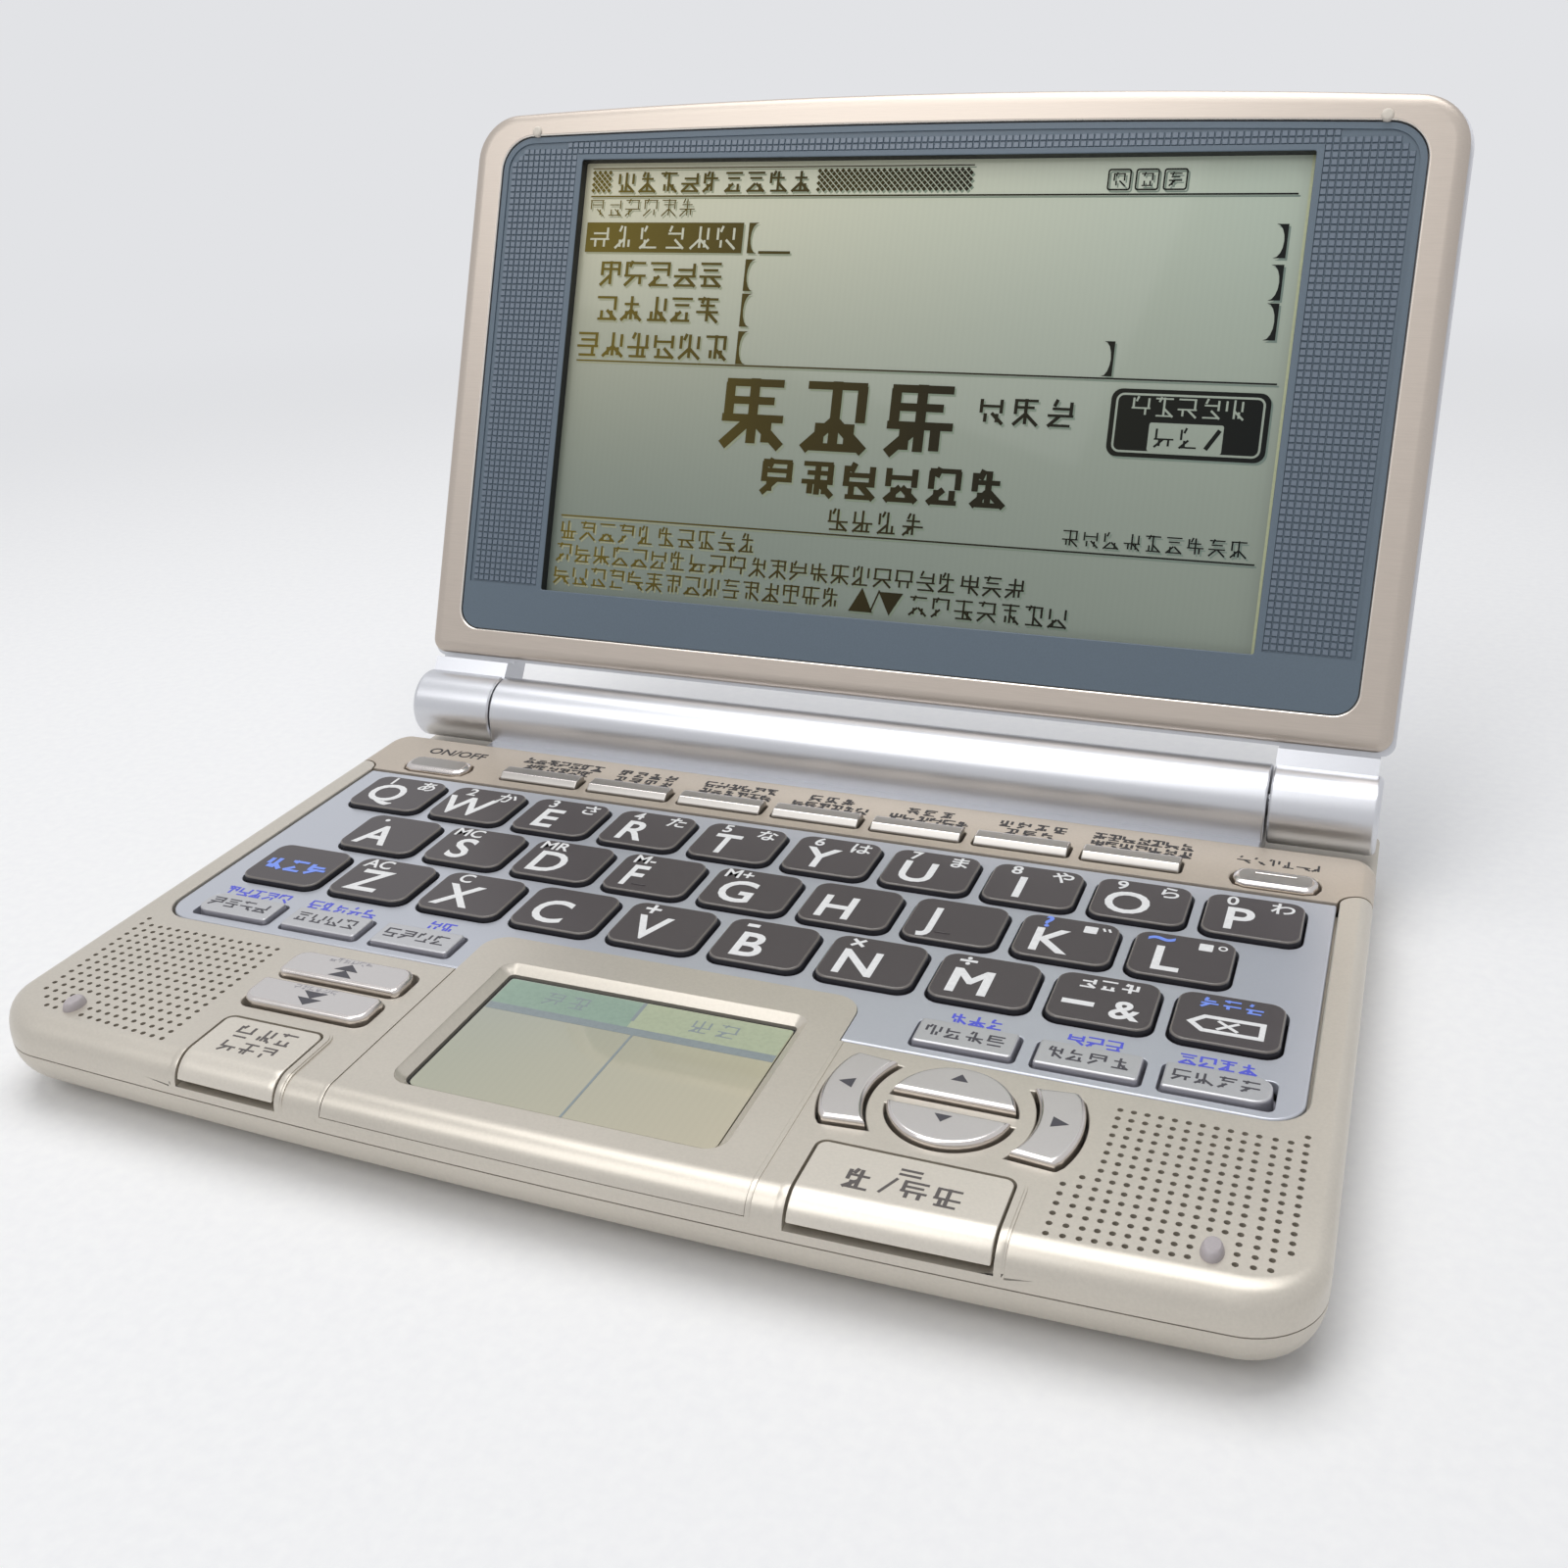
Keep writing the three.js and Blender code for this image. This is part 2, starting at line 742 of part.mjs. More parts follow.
// Writing panel and its display module
function writingBezel() {
  const column = prism(writingOutline(0), lipHeight, deckTop + overrun);
  const ring = (grow, z) => evenRectangle(
    [writingWindowX[0] - grow, writingWindowX[1] + grow],
    [writingWindowY[0] - grow, writingWindowY[1] + grow],
    writing.windowCorner + grow,
  ).map(([x, y]) => new THREE.Vector3(x, y, z));
  const window = loft([
    ring(0, deckUnderside - overrun),
    ring(0, deckTop - writing.bevel),
    ring(writing.bevel, deckTop),
    ring(writing.bevel, deckTop + overrun),
  ]);
  return deckShell.intersect(column).subtract(window);
}

function writingDisplay() {
  const top = deckUnderside - gap;
  return box(
    [writingWindowX[0] - writing.moduleMargin, writingWindowX[1] + writing.moduleMargin],
    [writingWindowY[0] - writing.moduleMargin / 2, writingWindowY[1] + writing.moduleMargin],
    [top - writing.moduleThickness, top],
  );
}

function speakerAt(x) {
  const top = deckUnderside - gap;
  const magnetRadius = speaker.radius * speaker.magnetShare;
  const profile = [
    [0, top - speaker.depth],
    [magnetRadius, top - speaker.depth],
    [magnetRadius, top - speaker.basket],
    [speaker.radius, top - speaker.basket],
    [speaker.radius, top],
    [speaker.radius - speaker.rim, top],
    [0, top - speaker.coneDepth],
  ].map(([r, z]) => new THREE.Vector2(r, z));
  const lathe = new THREE.LatheGeometry(profile, roundSteps);
  lathe.rotateX(Math.PI / 2);
  lathe.translate(x, plateFront - speaker.fromPlate, 0);
  return solidOf(lathe);
}

// Rubber mat with a dome under each key, and the circuit board under the mat
const dome = { radius: 2.2, topRadius: 1.6 };
const board = {
  sideMargin: 6.5,
  rearMargin: 5,
  domeMargin: 0.7,
  waistMargin: 1.1,
  speakerMargin: 1.3,
  chipHeight: 1,
  chipSink: 0.5,
};
const frontDomeY = frontKeyRear - dome.radius - gap;
const boardX = bodyWidth / 2 - board.sideMargin;
const boardRear = deckRear - board.rearMargin;
const boardWaist = plateFront - board.waistMargin;
const boardFront = frontDomeY - dome.radius - board.domeMargin;
const tongueX = speakerX - speaker.radius - board.speakerMargin;

function boardOutline(inset) {
  const side = boardX - inset;
  const tongue = tongueX - inset;
  const waist = boardWaist + inset;
  const front = boardFront + inset;
  const rear = boardRear - inset;
  return [
    [-side, waist], [-tongue, waist], [-tongue, front], [tongue, front],
    [tongue, waist], [side, waist], [side, rear], [-side, rear],
  ];
}

function domeAt(centre, keyBottom, travel) {
  const top = keyBottom - travel - gap;
  const ring = (radius, z) => circle(centre[0], centre[1], radius, domeSteps)
    .map(([x, y]) => new THREE.Vector3(x, y, z));
  return loft([
    ring(dome.radius, matTop - matThickness / 2),
    ring(dome.radius, matTop),
    ring(dome.topRadius, top),
  ]);
}

function keyMat() {
  const sheet = prism(boardOutline(gap), matTop - matThickness, matTop);
  const caps = [...letterKeys, ...softKeysLeft, ...softKeysRight, ...topStripKeys, ...pageKeys];
  const domes = caps.map((key) => domeAt(key.centre, flangeBottom, keyTravel));
  const arrowDomes = arrowKeys.map((key) => {
    const reach = key.outline === discOutline
      ? [0, arrow.discRadius / 2 + arrow.slot / 2]
      : [(arrow.innerMiddle + arrow.outerRadius) / 2, 0];
    const centre = [arrowX + key.turn * reach[0], arrowY + key.turn * reach[1]];
    return domeAt(centre, flangeBottom, keyTravel);
  });
  const frontDomes = frontKeys.map((key) => (
    domeAt([key.centreX, frontDomeY], lipHeight, frontKey.travel)));
  return join([sheet, ...domes, ...arrowDomes, ...frontDomes]);
}

// Chips under the board: centres as shares of the board's half width and of its rear part's depth
const chips = [
  { acrossShare: -0.15, alongShare: 0.42, width: 16, depth: 16 },
  { acrossShare: 0.28, alongShare: 0.51, width: 14, depth: 10 },
  { acrossShare: -0.65, alongShare: 0.43, width: 12, depth: 10 },
];

function chipBox(chip) {
  const y = boardRear + (boardWaist - boardRear) * chip.alongShare;
  const z = [boardUnderside - board.chipHeight, boardUnderside + board.chipSink];
  return box(span(boardX * chip.acrossShare, chip.width), span(y, chip.depth), z);
}

function circuitBoard() {
  return join([prism(boardOutline(0), boardUnderside, boardTop), ...chips.map(chipBox)]);
}

// Hinge barrel: a hood over the cells with a ledge behind the deck and a full end at each side
const hood = {
  sideMargin: 14.8,
  endThickness: 3,
  wall: 0.9,
  ledgeDepth: 1.1,
  ledgeFront: deckRear + gap,
  rearMargin: 1.2,
  shoulderDepth: 2.9,
};
const hoodX = bodyWidth / 2 - hood.sideMargin;
const hoodRear = bodyRear - hood.rearMargin;

// Lower case: a tray whose underside tucks in, with the cell bay at the rear
const tray = {
  bottomThickness: 1.2,
  frontTuck: 7.6,
  sideTuck: 5.5,
  rearTuck: 1,
  bayReach: 7,
  bayMargin: 17,
  footRadius: 3.5,
  footFromSide: 14.5,
  footFromFront: 16,
  bossRadius: 2,
};
const cover = {
  frontReach: 6.4,
  rearReach: 6,
  endMargin: 7.5,
  corner: 1.5,
  thickness: 0.9,
};
const bayX = bodyWidth / 2 - tray.bayMargin;
const coverX = bayX - cover.endMargin;
const footX = bodyWidth / 2 - tray.footFromSide;

function trayBlock() {
  const shape = { ...deckShape, near: bodyRear };
  const height = partingHeight - undersideHeight;
  const levels = [];
  for (let i = 0; i <= filletSteps + 2; i += 1) {
    const angle = (Math.PI / 2) * (1 - i / (filletSteps + 2));
    const share = 1 - Math.cos(angle);
    levels.push({
      z: partingHeight - height * Math.sin(angle),
      side: tray.sideTuck * share,
      near: tray.rearTuck * share,
      far: tray.frontTuck * share,
    });
  }
  return stack(shape, levels);
}

function trayHollow() {
  const floor = undersideHeight + tray.bottomThickness;
  const wall = shellWall;
  return stack({ ...deckShape, near: deckRear }, [
    { z: floor, side: tray.sideTuck + wall / 2, near: wall, far: tray.frontTuck },
    { z: (floor + partingHeight) / 2, side: tray.sideTuck / 2, near: wall, far: tray.frontTuck / 2 },
    { z: partingHeight - wall, side: wall, near: wall, far: wall },
    { z: partingHeight + overrun, side: wall, near: wall, far: wall },
  ]);
}

function coverOutline(grow) {
  return evenRectangle(
    [-coverX - grow, coverX + grow],
    [axisY - cover.frontReach - grow, axisY + cover.rearReach + grow],
    cover.corner + grow,
  );
}

function batteryCover() {
  return prism(coverOutline(0), undersideHeight, undersideHeight + cover.thickness);
}

function lowerCase() {
  const bay = box(
    [-bayX, bayX],
    [axisY - tray.bayReach, bodyRear - tray.rearTuck - shellWall / 2],
    [undersideHeight + tray.bottomThickness, partingHeight + overrun],
  );
  const hatch = prism(coverOutline(gap), -overrun, undersideHeight + tray.bottomThickness + overrun);
  const feet = [-footX, footX].flatMap((x) => [frontEdge + tray.footFromFront, axisY].map((y) => (
    prism(circle(x, y, tray.footRadius, roundSteps), 0, undersideHeight + gap))));
  const bossX = boardX - 2 * tray.bossRadius;
  const bossY = [boardRear - 2 * tray.bossRadius, boardWaist + 2 * tray.bossRadius];
  const bosses = [-bossX, 0, bossX].flatMap((x) => bossY.map((y) => prism(
    circle(x, y, tray.bossRadius, domeSteps),
    undersideHeight + tray.bottomThickness / 2,
    boardUnderside - gap,
  )));
  return join([cut(trayBlock(), [trayHollow(), bay, hatch]), ...feet, ...bosses]);
}

// Cells: two in line under the hinge barrel
const cell = {
  radius: 5.25,
  length: 44.5,
  nubRadius: 1.9,
  nubLength: 1,
};

function cellFrom(start) {
  const body = start + cell.length - cell.nubLength;
  const rings = [
    [start, cell.radius], [body, cell.radius], [body, cell.nubRadius],
    [start + cell.length, cell.nubRadius],
  ];
  const y = hoodRear - hood.wall - gap - cell.radius;
  const z = undersideHeight + cover.thickness + gap + cell.radius;
  return loft(rings.map(([x, radius]) => circle(y, z, radius, roundSteps)
    .map(([py, pz]) => new THREE.Vector3(x, py, pz))));
}

// The profile's first two points are its foot, which the hollow runs through.
function hoodProfile(inset, foot) {
  const radius = barrelRadius - inset;
  const ledgeTop = deckTop - hood.ledgeDepth - inset;
  return [
    [hood.ledgeFront + inset, foot],
    [hoodRear - inset, foot],
    [hoodRear - inset, axisHeight - hood.shoulderDepth],
    ...arc(axisY, axisHeight, radius, radius, 0, 180, barrelSteps / 2),
    [axisY - radius, ledgeTop],
    [hood.ledgeFront + inset, ledgeTop],
  ];
}

const pin = {
  radius: 1.8,
  intoEar: 6,
};
const pinInner = hoodX - hood.endThickness - gap;
const pinOuter = hoodX + gap + pin.intoEar;

// A round bar along X on one side of the middle, from one distance to a larger one
function sideBar(side, centre, radius, from, to) {
  const ends = side > 0 ? [from, to] : [-to, -from];
  return bar(circle(centre[0], centre[1], radius, roundSteps), ...ends);
}

function hingeBarrel() {
  const inner = hoodX - hood.endThickness;
  const hollow = bar(hoodProfile(hood.wall, skirtBottom - overrun), -inner, inner);
  const bores = [-1, 1].map((side) => (
    sideBar(side, [axisY, axisHeight], pin.radius + gap, inner - overrun, hoodX + overrun)));
  return cut(bar(hoodProfile(0, skirtBottom), -hoodX, hoodX), [hollow, ...bores]);
}

function hingePin(side) {
  return sideBar(side, [axisY, axisHeight], pin.radius, pinInner, pinOuter);
}

// Lid. Its pieces are made with the hinge axis on X, the lid rising along Y and its face up Z.
const lidX = bodyWidth / 2 + lidOverhang;
const lidBottom = barrelRadius + lidAboveBarrel;
const lidSideTop = axisY - frontEdge - lidShortfall;
const lidShape = {
  halfWidth: lidX,
  near: lidBottom,
  far: lidSideTop,
  nearCorner: 1.8,
  farCorner: 7.5,
  bow: lidBow,
};
const frame = {
  inset: 0.5,
  thickness: 2.2,
  edge: 1.1,
  edgeDepth: 0.7,
  ledge: 1.5,
  ledgeThickness: 0.6,
  padFromSide: 10.4,
  padRadius: 0.8,
  padHeight: 0.3,
};
const screen = {
  fromSide: 5.7,
  fromBottom: 5.1,
  fromTop: 4.4,
  bow: 0.9,
  bottomCorner: 3,
  topCorner: 5,
  sink: 0.3,
  thickness: 1,
  windowFromSide: 13.9,
  windowFromBottom: 6.9,
  windowFromTop: 3.4,
  moduleMargin: 1.6,
};
const screenX = lidX - screen.fromSide;
const screenBottom = lidBottom + screen.fromBottom;
const screenTop = lidSideTop - screen.fromTop;
const windowX = screenX - screen.windowFromSide;
const windowBottom = screenBottom + screen.windowFromBottom;
const windowTop = screenTop - screen.windowFromTop;
const lidBackWall = 1.3;
const lidBack = lidFace - lidThickness;

const screenShape = {
  halfWidth: screenX,
  near: screenBottom,
  far: screenTop,
  nearCorner: screen.bottomCorner,
  farCorner: screen.topCorner,
  bow: screen.bow,
};

function screenOutline(grow) {
  return bowedOutline(screenShape, { side: -grow, near: -grow, far: -grow });
}

function evenInset(z, inset) {
  return { z, side: inset, near: inset, far: inset };
}

function lidFrontFrame() {
  const back = lidFace - frame.thickness;
  const block = stack(lidShape, [
    evenInset(back, frame.inset),
    evenInset(lidFace - frame.edgeDepth, frame.inset),
    evenInset(lidFace, frame.inset + frame.edge),
  ]);
  const seat = back + frame.ledgeThickness;
  const padY = screenTop + frame.padRadius + gap * 1.5;
  const pads = [-1, 1].map((side) => prism(
    circle(side * (lidX - frame.padFromSide), padY, frame.padRadius, roundSteps),
    back,
    lidFace + frame.padHeight,
  ));
  return join([
    cut(block, [
      prism(screenOutline(gap), seat, lidFace + overrun),
      prism(screenOutline(-frame.ledge), back - overrun, lidFace + overrun),
    ]),
    ...pads,
  ]);
}

function displayBezel() {
  const top = lidFace - screen.sink;
  const window = box(
    [-windowX, windowX],
    [windowBottom, windowTop],
    [top - screen.thickness - overrun, top + overrun],
  );
  return prism(screenOutline(0), top - screen.thickness, top).subtract(window);
}

function displayPanel() {
  const top = lidFace - screen.sink - screen.thickness - gap;
  return box(
    [-windowX - screen.moduleMargin, windowX + screen.moduleMargin],
    [windowBottom - screen.moduleMargin, windowTop + screen.moduleMargin],
    [lidBack + lidBackWall + gap, top],
  );
}

// Back cover with the two ears that hold the hinge pins
const ear = {
  fromSide: 0.5,
  edge: 0.8,
  neckFront: 2.4,
  neckRound: 1.6,
};
const earInner = hoodX + gap;
const earOuter = bodyWidth / 2 - ear.fromSide;

function earAt(side) {
  const rings = [
    [earInner, barrelRadius],
    [earOuter - ear.edge, barrelRadius],
    [earOuter, barrelRadius - ear.edge],
  ].map(([x, radius]) => circle(0, 0, radius, barrelSteps)
    .map(([y, z]) => new THREE.Vector3(side * x, y, z)));
  const rim = lidFace - frame.thickness - gap;
  const neck = bar(
    [
      [0, -barrelRadius + ear.neckRound], [lidBottom + overrun, lidBack], [lidBottom + overrun, rim],
      [lidBottom - gap, rim], [lidBottom - gap, lidFace - gap], [0, ear.neckFront],
    ],
    side > 0 ? earInner : -earOuter + ear.edge,
    side > 0 ? earOuter - ear.edge : -earInner,
  );
  return loft(side > 0 ? rings : rings.reverse()).add(neck);
}

function lidBackCover() {
  const rim = lidFace - frame.thickness - gap;
  const block = stack(lidShape, [
    evenInset(lidBack, frame.edge * 1.5),
    evenInset(lidBack + frame.edge / 2, frame.edge / 2),
    evenInset(lidBack + frame.edge * 1.5, 0),
    evenInset(rim, 0),
  ]);
  const hollow = stack(lidShape, [
    evenInset(lidBack + lidBackWall, lidBackWall),
    evenInset(rim + overrun, lidBackWall),
  ]);
  const bores = [-1, 1].map((side) => (
    sideBar(side, [0, 0], pin.radius + gap, earInner - overrun, pinOuter + gap)));
  return cut(join([block.subtract(hollow), earAt(-1), earAt(1)]), bores);
}

// Assembly

function piece(name, solid, look) {
  const mesh = new THREE.Mesh(geometryOf(solid), new THREE.MeshStandardMaterial(finish[look]));
  mesh.name = name;
  return mesh;
}

const baseGroup = new THREE.Group();
baseGroup.add(
  piece('lower_case', lowerCase(), 'champagne'),
  piece('upper_case', upperCase(), 'champagne'),
  piece('rear_strip', rearStrip(), 'stripChampagne'),
  piece('keyboard_plate', keyboardPlate(), 'blueGrey'),
  piece('writing_bezel', writingBezel(), 'champagne'),
  piece('writing_display', writingDisplay(), 'liquidCrystal'),
  piece('key_mat', keyMat(), 'rubber'),
  piece('circuit_board', circuitBoard(), 'board'),
  piece('hinge_barrel', hingeBarrel(), 'silver'),
  piece('battery_cover', batteryCover(), 'champagne'),
  piece('battery_left', cellFrom(-cell.length - gap / 2), 'cell'),
  piece('battery_right', cellFrom(gap / 2), 'cell'),
  piece('speaker_left', speakerAt(-speakerX), 'darkPlastic'),
  piece('speaker_right', speakerAt(speakerX), 'darkPlastic'),
  piece('top_key_strip', webbed(topStripKeys, topKey.webDepth), 'stripChampagne'),
  piece('soft_keys_left', webbed(softKeysLeft, softKey.webDepth), 'keyGrey'),
  piece('soft_keys_right', webbed(softKeysRight, softKey.webDepth), 'keyGrey'),
  ...letterKeys.map((key) => piece(key.name, keyCap(key.centre, key.size), 'charcoal')),
  ...pageKeys.map((key) => piece(key.name, keyCap(key.centre, key.size), 'silver')),
  ...arrowKeys.map((key) => piece(key.name, arrowCap(key), 'silver')),
  ...frontKeys.map((key) => piece(key.name, frontKeyCap(key), 'champagne')),
);

const pinGroup = new THREE.Group();
pinGroup.add(
  piece('hinge_pin_left', hingePin(-1), 'steel'),
  piece('hinge_pin_right', hingePin(1), 'steel'),
);

const lidGroup = new THREE.Group();
lidGroup.position.set(0, axisY, axisHeight);
lidGroup.rotation.x = lidTilt;
lidGroup.add(
  piece('lid_front_frame', lidFrontFrame(), 'brushed'),
  piece('lid_back_cover', lidBackCover(), 'champagne'),
  piece('display_bezel', displayBezel(), 'slate'),
  piece('display_panel', displayPanel(), 'liquidCrystal'),
);

const dictionary = new THREE.Group();
dictionary.add(baseGroup, pinGroup, lidGroup);
dictionary.updateMatrixWorld(true);
const middle = new THREE.Box3().setFromObject(dictionary, true).getCenter(new THREE.Vector3());
dictionary.position.set(-middle.x, -middle.y, 0);

export default dictionary;
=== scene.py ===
import json
import math
import random

import bmesh
import bpy
from mathutils import Euler, Matrix, Vector


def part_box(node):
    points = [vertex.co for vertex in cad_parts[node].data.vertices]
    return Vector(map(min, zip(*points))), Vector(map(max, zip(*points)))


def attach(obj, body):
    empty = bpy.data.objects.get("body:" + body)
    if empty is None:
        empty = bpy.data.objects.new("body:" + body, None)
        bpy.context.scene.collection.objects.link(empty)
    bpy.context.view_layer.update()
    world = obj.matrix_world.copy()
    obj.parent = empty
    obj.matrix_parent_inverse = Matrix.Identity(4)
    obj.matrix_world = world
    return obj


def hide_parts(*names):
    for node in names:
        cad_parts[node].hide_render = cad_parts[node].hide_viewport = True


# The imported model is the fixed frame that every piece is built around.
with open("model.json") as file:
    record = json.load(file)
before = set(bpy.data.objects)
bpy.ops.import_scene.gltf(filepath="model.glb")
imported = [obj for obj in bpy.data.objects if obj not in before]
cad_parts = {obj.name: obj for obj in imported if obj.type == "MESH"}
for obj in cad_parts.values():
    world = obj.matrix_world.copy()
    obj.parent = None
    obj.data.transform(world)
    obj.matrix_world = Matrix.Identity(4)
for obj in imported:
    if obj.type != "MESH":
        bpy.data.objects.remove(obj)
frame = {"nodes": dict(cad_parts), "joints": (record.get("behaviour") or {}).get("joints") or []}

bl_info = {
    "name": "Electronic Dictionary",
    "version": (1, 0, 0),
    "blender": (4, 5, 0),
    "location": "View3D > Sidebar > Dictionary",
    "description": "Builds a clamshell electronic dictionary around its packed solids",
    "category": "Add Mesh",
}

MM = 0.001
# A length or a shift below this counts as none, and points within this reach as one
TINY = 1e-6
SAME_POINT = 1e-4

# The drawing is in millimetres, with y zero 8.6 in front of the keyboard plate's rear edge.
PLATE_REAR = 8.6
PLAN_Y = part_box("keyboard_plate")[1].y / MM - PLATE_REAR
PLAN = Matrix.Translation((0, PLAN_Y * MM, 0)) @ Matrix.Scale(MM, 4)
LID_TILT = math.radians(67.6)
HINGE = next(joint for joint in frame["joints"] if joint["name"] == "lid_hinge")
HINGE_AT = Vector(HINGE["pos_m"])
LID = Matrix.Translation(HINGE_AT) @ Matrix.Rotation(LID_TILT, 4, "X") @ Matrix.Scale(MM, 4)


# Outlines

def ellipse_arc(x, y, radii, start, end, steps):
    """Points on an ellipse from one angle to another, in degrees."""
    points = []
    for step in range(steps + 1):
        angle = math.radians(start + (end - start) * step / steps)
        points.append((x + radii[0] * math.cos(angle), y + radii[1] * math.sin(angle)))
    return points


def arc(centre, radius, start, end, steps):
    """Points on a circle from one angle to another, in degrees."""
    return ellipse_arc(*centre, (radius, radius), start, end, steps)


def circle(x, y, radius, steps):
    """A closed circle, counterclockwise."""
    return arc((x, y), radius, 0, 360, steps)[:-1]


def quarter_turn(steps):
    """The sine and cosine of evenly spaced angles from 0 to 90 degrees."""
    angles = [math.pi / 2 * step / steps for step in range(steps + 1)]
    return [(math.sin(angle), math.cos(angle)) for angle in angles]


def at_height(outline, z):
    """The points of a flat outline, all at one height."""
    return [(x, y, z) for x, y in outline]


def tidy_loop(points):
    """The loop without points that repeat the one before."""
    kept = []
    for point in points:
        if not kept or math.dist(point, kept[-1]) > SAME_POINT:
            kept.append(point)
    if math.dist(kept[0], kept[-1]) <= SAME_POINT:
        kept.pop()
    return kept


def rounded_box(left, right, front, rear, corners, steps=8):
    """A rectangle with a radius for each corner: front left, front right, rear right, rear left."""
    if not isinstance(corners, (tuple, list)):
        corners = (corners,) * 4
    places = (
        (left, front, 1, 1, 180),
        (right, front, -1, 1, 270),
        (right, rear, -1, -1, 0),
        (left, rear, 1, -1, 90),
    )
    points = []
    for (x, y, inward_x, inward_y, start), radius in zip(places, corners):
        if radius < TINY:
            points.append((x, y))
            continue
        centre = (x + inward_x * radius, y + inward_y * radius)
        points.extend(arc(centre, radius, start, start + 90, steps))
    return tidy_loop(points)


def bowed_outline(shape, side, near, far):
    """A rounded rectangle whose far side bows outward, with its edges moved in by three insets."""
    steps = 12
    bow_steps = 24
    direction = 1 if shape["far"] > shape["near"] else -1
    far_edge = shape["far"] * direction
    near_edge = shape["near"] * direction
    corner_x = shape["half"] - shape["far_corner"]
    near_x = shape["half"] - shape["near_corner"]
    far_y = far_edge - shape["far_corner"]
    near_y = near_edge + shape["near_corner"]
    far_radii = (shape["far_corner"] - side, shape["far_corner"] - far)
    near_radii = (shape["near_corner"] - side, shape["near_corner"] - near)
    bow = []
    for step in range(1, bow_steps):
        share = 1 - 2 * step / bow_steps
        bow.append((corner_x * share, far_edge - far + shape["bow"] * (1 - share * share)))
    points = (
        ellipse_arc(-near_x, near_y, near_radii, 180, 270, steps)
        + ellipse_arc(near_x, near_y, near_radii, 270, 360, steps)
        + ellipse_arc(corner_x, far_y, far_radii, 0, 90, steps)
        + bow
        + ellipse_arc(-corner_x, far_y, far_radii, 90, 180, steps)
    )
    if direction > 0:
        return points
    return [(x, -y) for x, y in reversed(points)]


def quarter_inset(radius, drop):
    """How far a rounded edge stands back at a drop below its top."""
    reach = max(radius - drop, 0)
    return radius - math.sqrt(radius * radius - reach * reach)


def offset_loop(points, distance):
    """A loop moved inward by a distance along its corner bisectors; it runs counterclockwise."""
    moved = []
    count = len(points)
    for index, point in enumerate(points):
        before = Vector(points[index - 1])
        here = Vector(point)
        after = Vector(points[(index + 1) % count])
        first = (here - before).normalized()
        second = (after - here).normalized()
        normal = Vector((-first.y - second.y, first.x + second.x))
        if normal.length < TINY:
            normal = Vector((-first.y, first.x)) * 2
        normal.normalize()
        spread = max(0.5, normal.dot(Vector((-first.y, first.x))))
        shift = here + normal * (distance / spread)
        moved.append((shift.x, shift.y))
    return moved


# Solids

def add_loft(shape, rings):
    """Adds a closed body through rings of (x, y, z) points, the first at the bottom."""
    layers = [[shape.verts.new(point) for point in ring] for ring in rings]
    for below, above in zip(layers, layers[1:]):
        count = len(below)
        for index in range(count):
            after = (index + 1) % count
            shape.faces.new((below[index], below[after], above[after], above[index]))
    shape.faces.new(list(reversed(layers[0])))
    shape.faces.new(layers[-1])
    return layers


def stack(outline_shape, levels):
    """A new shape through bowed outlines, one for each (z, side, near, far) level."""
    shape = bmesh.new()
    add_loft(shape, [at_height(bowed_outline(outline_shape, *insets), z) for z, *insets in levels])
    return shape


def add_sections(shape, sections):
    """Adds a body through (y, z) outlines, one for each (x, outline) section."""
    add_loft(shape, [[(x, y, z) for y, z in outline] for x, outline in sections])


def rod(outline, ends):
    """A new shape with the same (y, z) outline from one place on x to another."""
    shape = bmesh.new()
    add_sections(shape, [(x, outline) for x in sorted(ends)])
    return shape


def add_prism(shape, outline, low, high):
    """Adds an upright body over a counterclockwise outline."""
    add_loft(shape, [at_height(outline, low), at_height(outline, high)])


def add_levels(shape, outline, levels):
    """Adds a body whose outline is moved inward by (z, inset) at each level, bottom first."""
    rings = []
    for z, inset in levels:
        loop = offset_loop(outline, inset) if abs(inset) > TINY else outline
        rings.append(at_height(loop, z))
    add_loft(shape, rings)


def rolled(top, radius, steps, height=None):
    """Levels of a quarter-round edge that ends at the top."""
    height = radius if height is None else height
    levels = []
    for sine, cosine in quarter_turn(steps):
        levels.append((top - height + height * sine, radius * (1 - cosine)))
    return levels


def add_box(shape, low, high):
    """Adds a plain upright block between two corners."""
    add_prism(shape, plain_rectangle(low[0], high[0], low[1], high[1]), low[2], high[2])


def prism(outline, low, high):
    """A new shape with one upright body in it."""
    shape = bmesh.new()
    add_prism(shape, outline, low, high)
    return shape


def shape_of(made):
    """A new shape from an object's mesh; the object itself is removed."""
    shape = bmesh.new()
    shape.from_mesh(made.data)
    bpy.data.objects.remove(made)
    return shape


def raw_object(shape, name):
    """An object with a shape as its mesh, with outward faces."""
    bmesh.ops.recalc_face_normals(shape, faces=shape.faces[:])
    data = bpy.data.meshes.new(name)
    shape.to_mesh(data)
    shape.free()
    made = bpy.data.objects.new(name, data)
    bpy.context.collection.objects.link(made)
    return made


def apply_modifiers(made):
    """Keeps the evaluated mesh of an object and drops its modifiers."""
    graph = bpy.context.evaluated_depsgraph_get()
    graph.update()
    final = bpy.data.meshes.new_from_object(made.evaluated_get(graph))
    old = made.data
    made.modifiers.clear()
    made.data = final
    bpy.data.meshes.remove(old)


# A cut that leaves less than this share of the faces has failed
LEAST_SHARE = 0.4


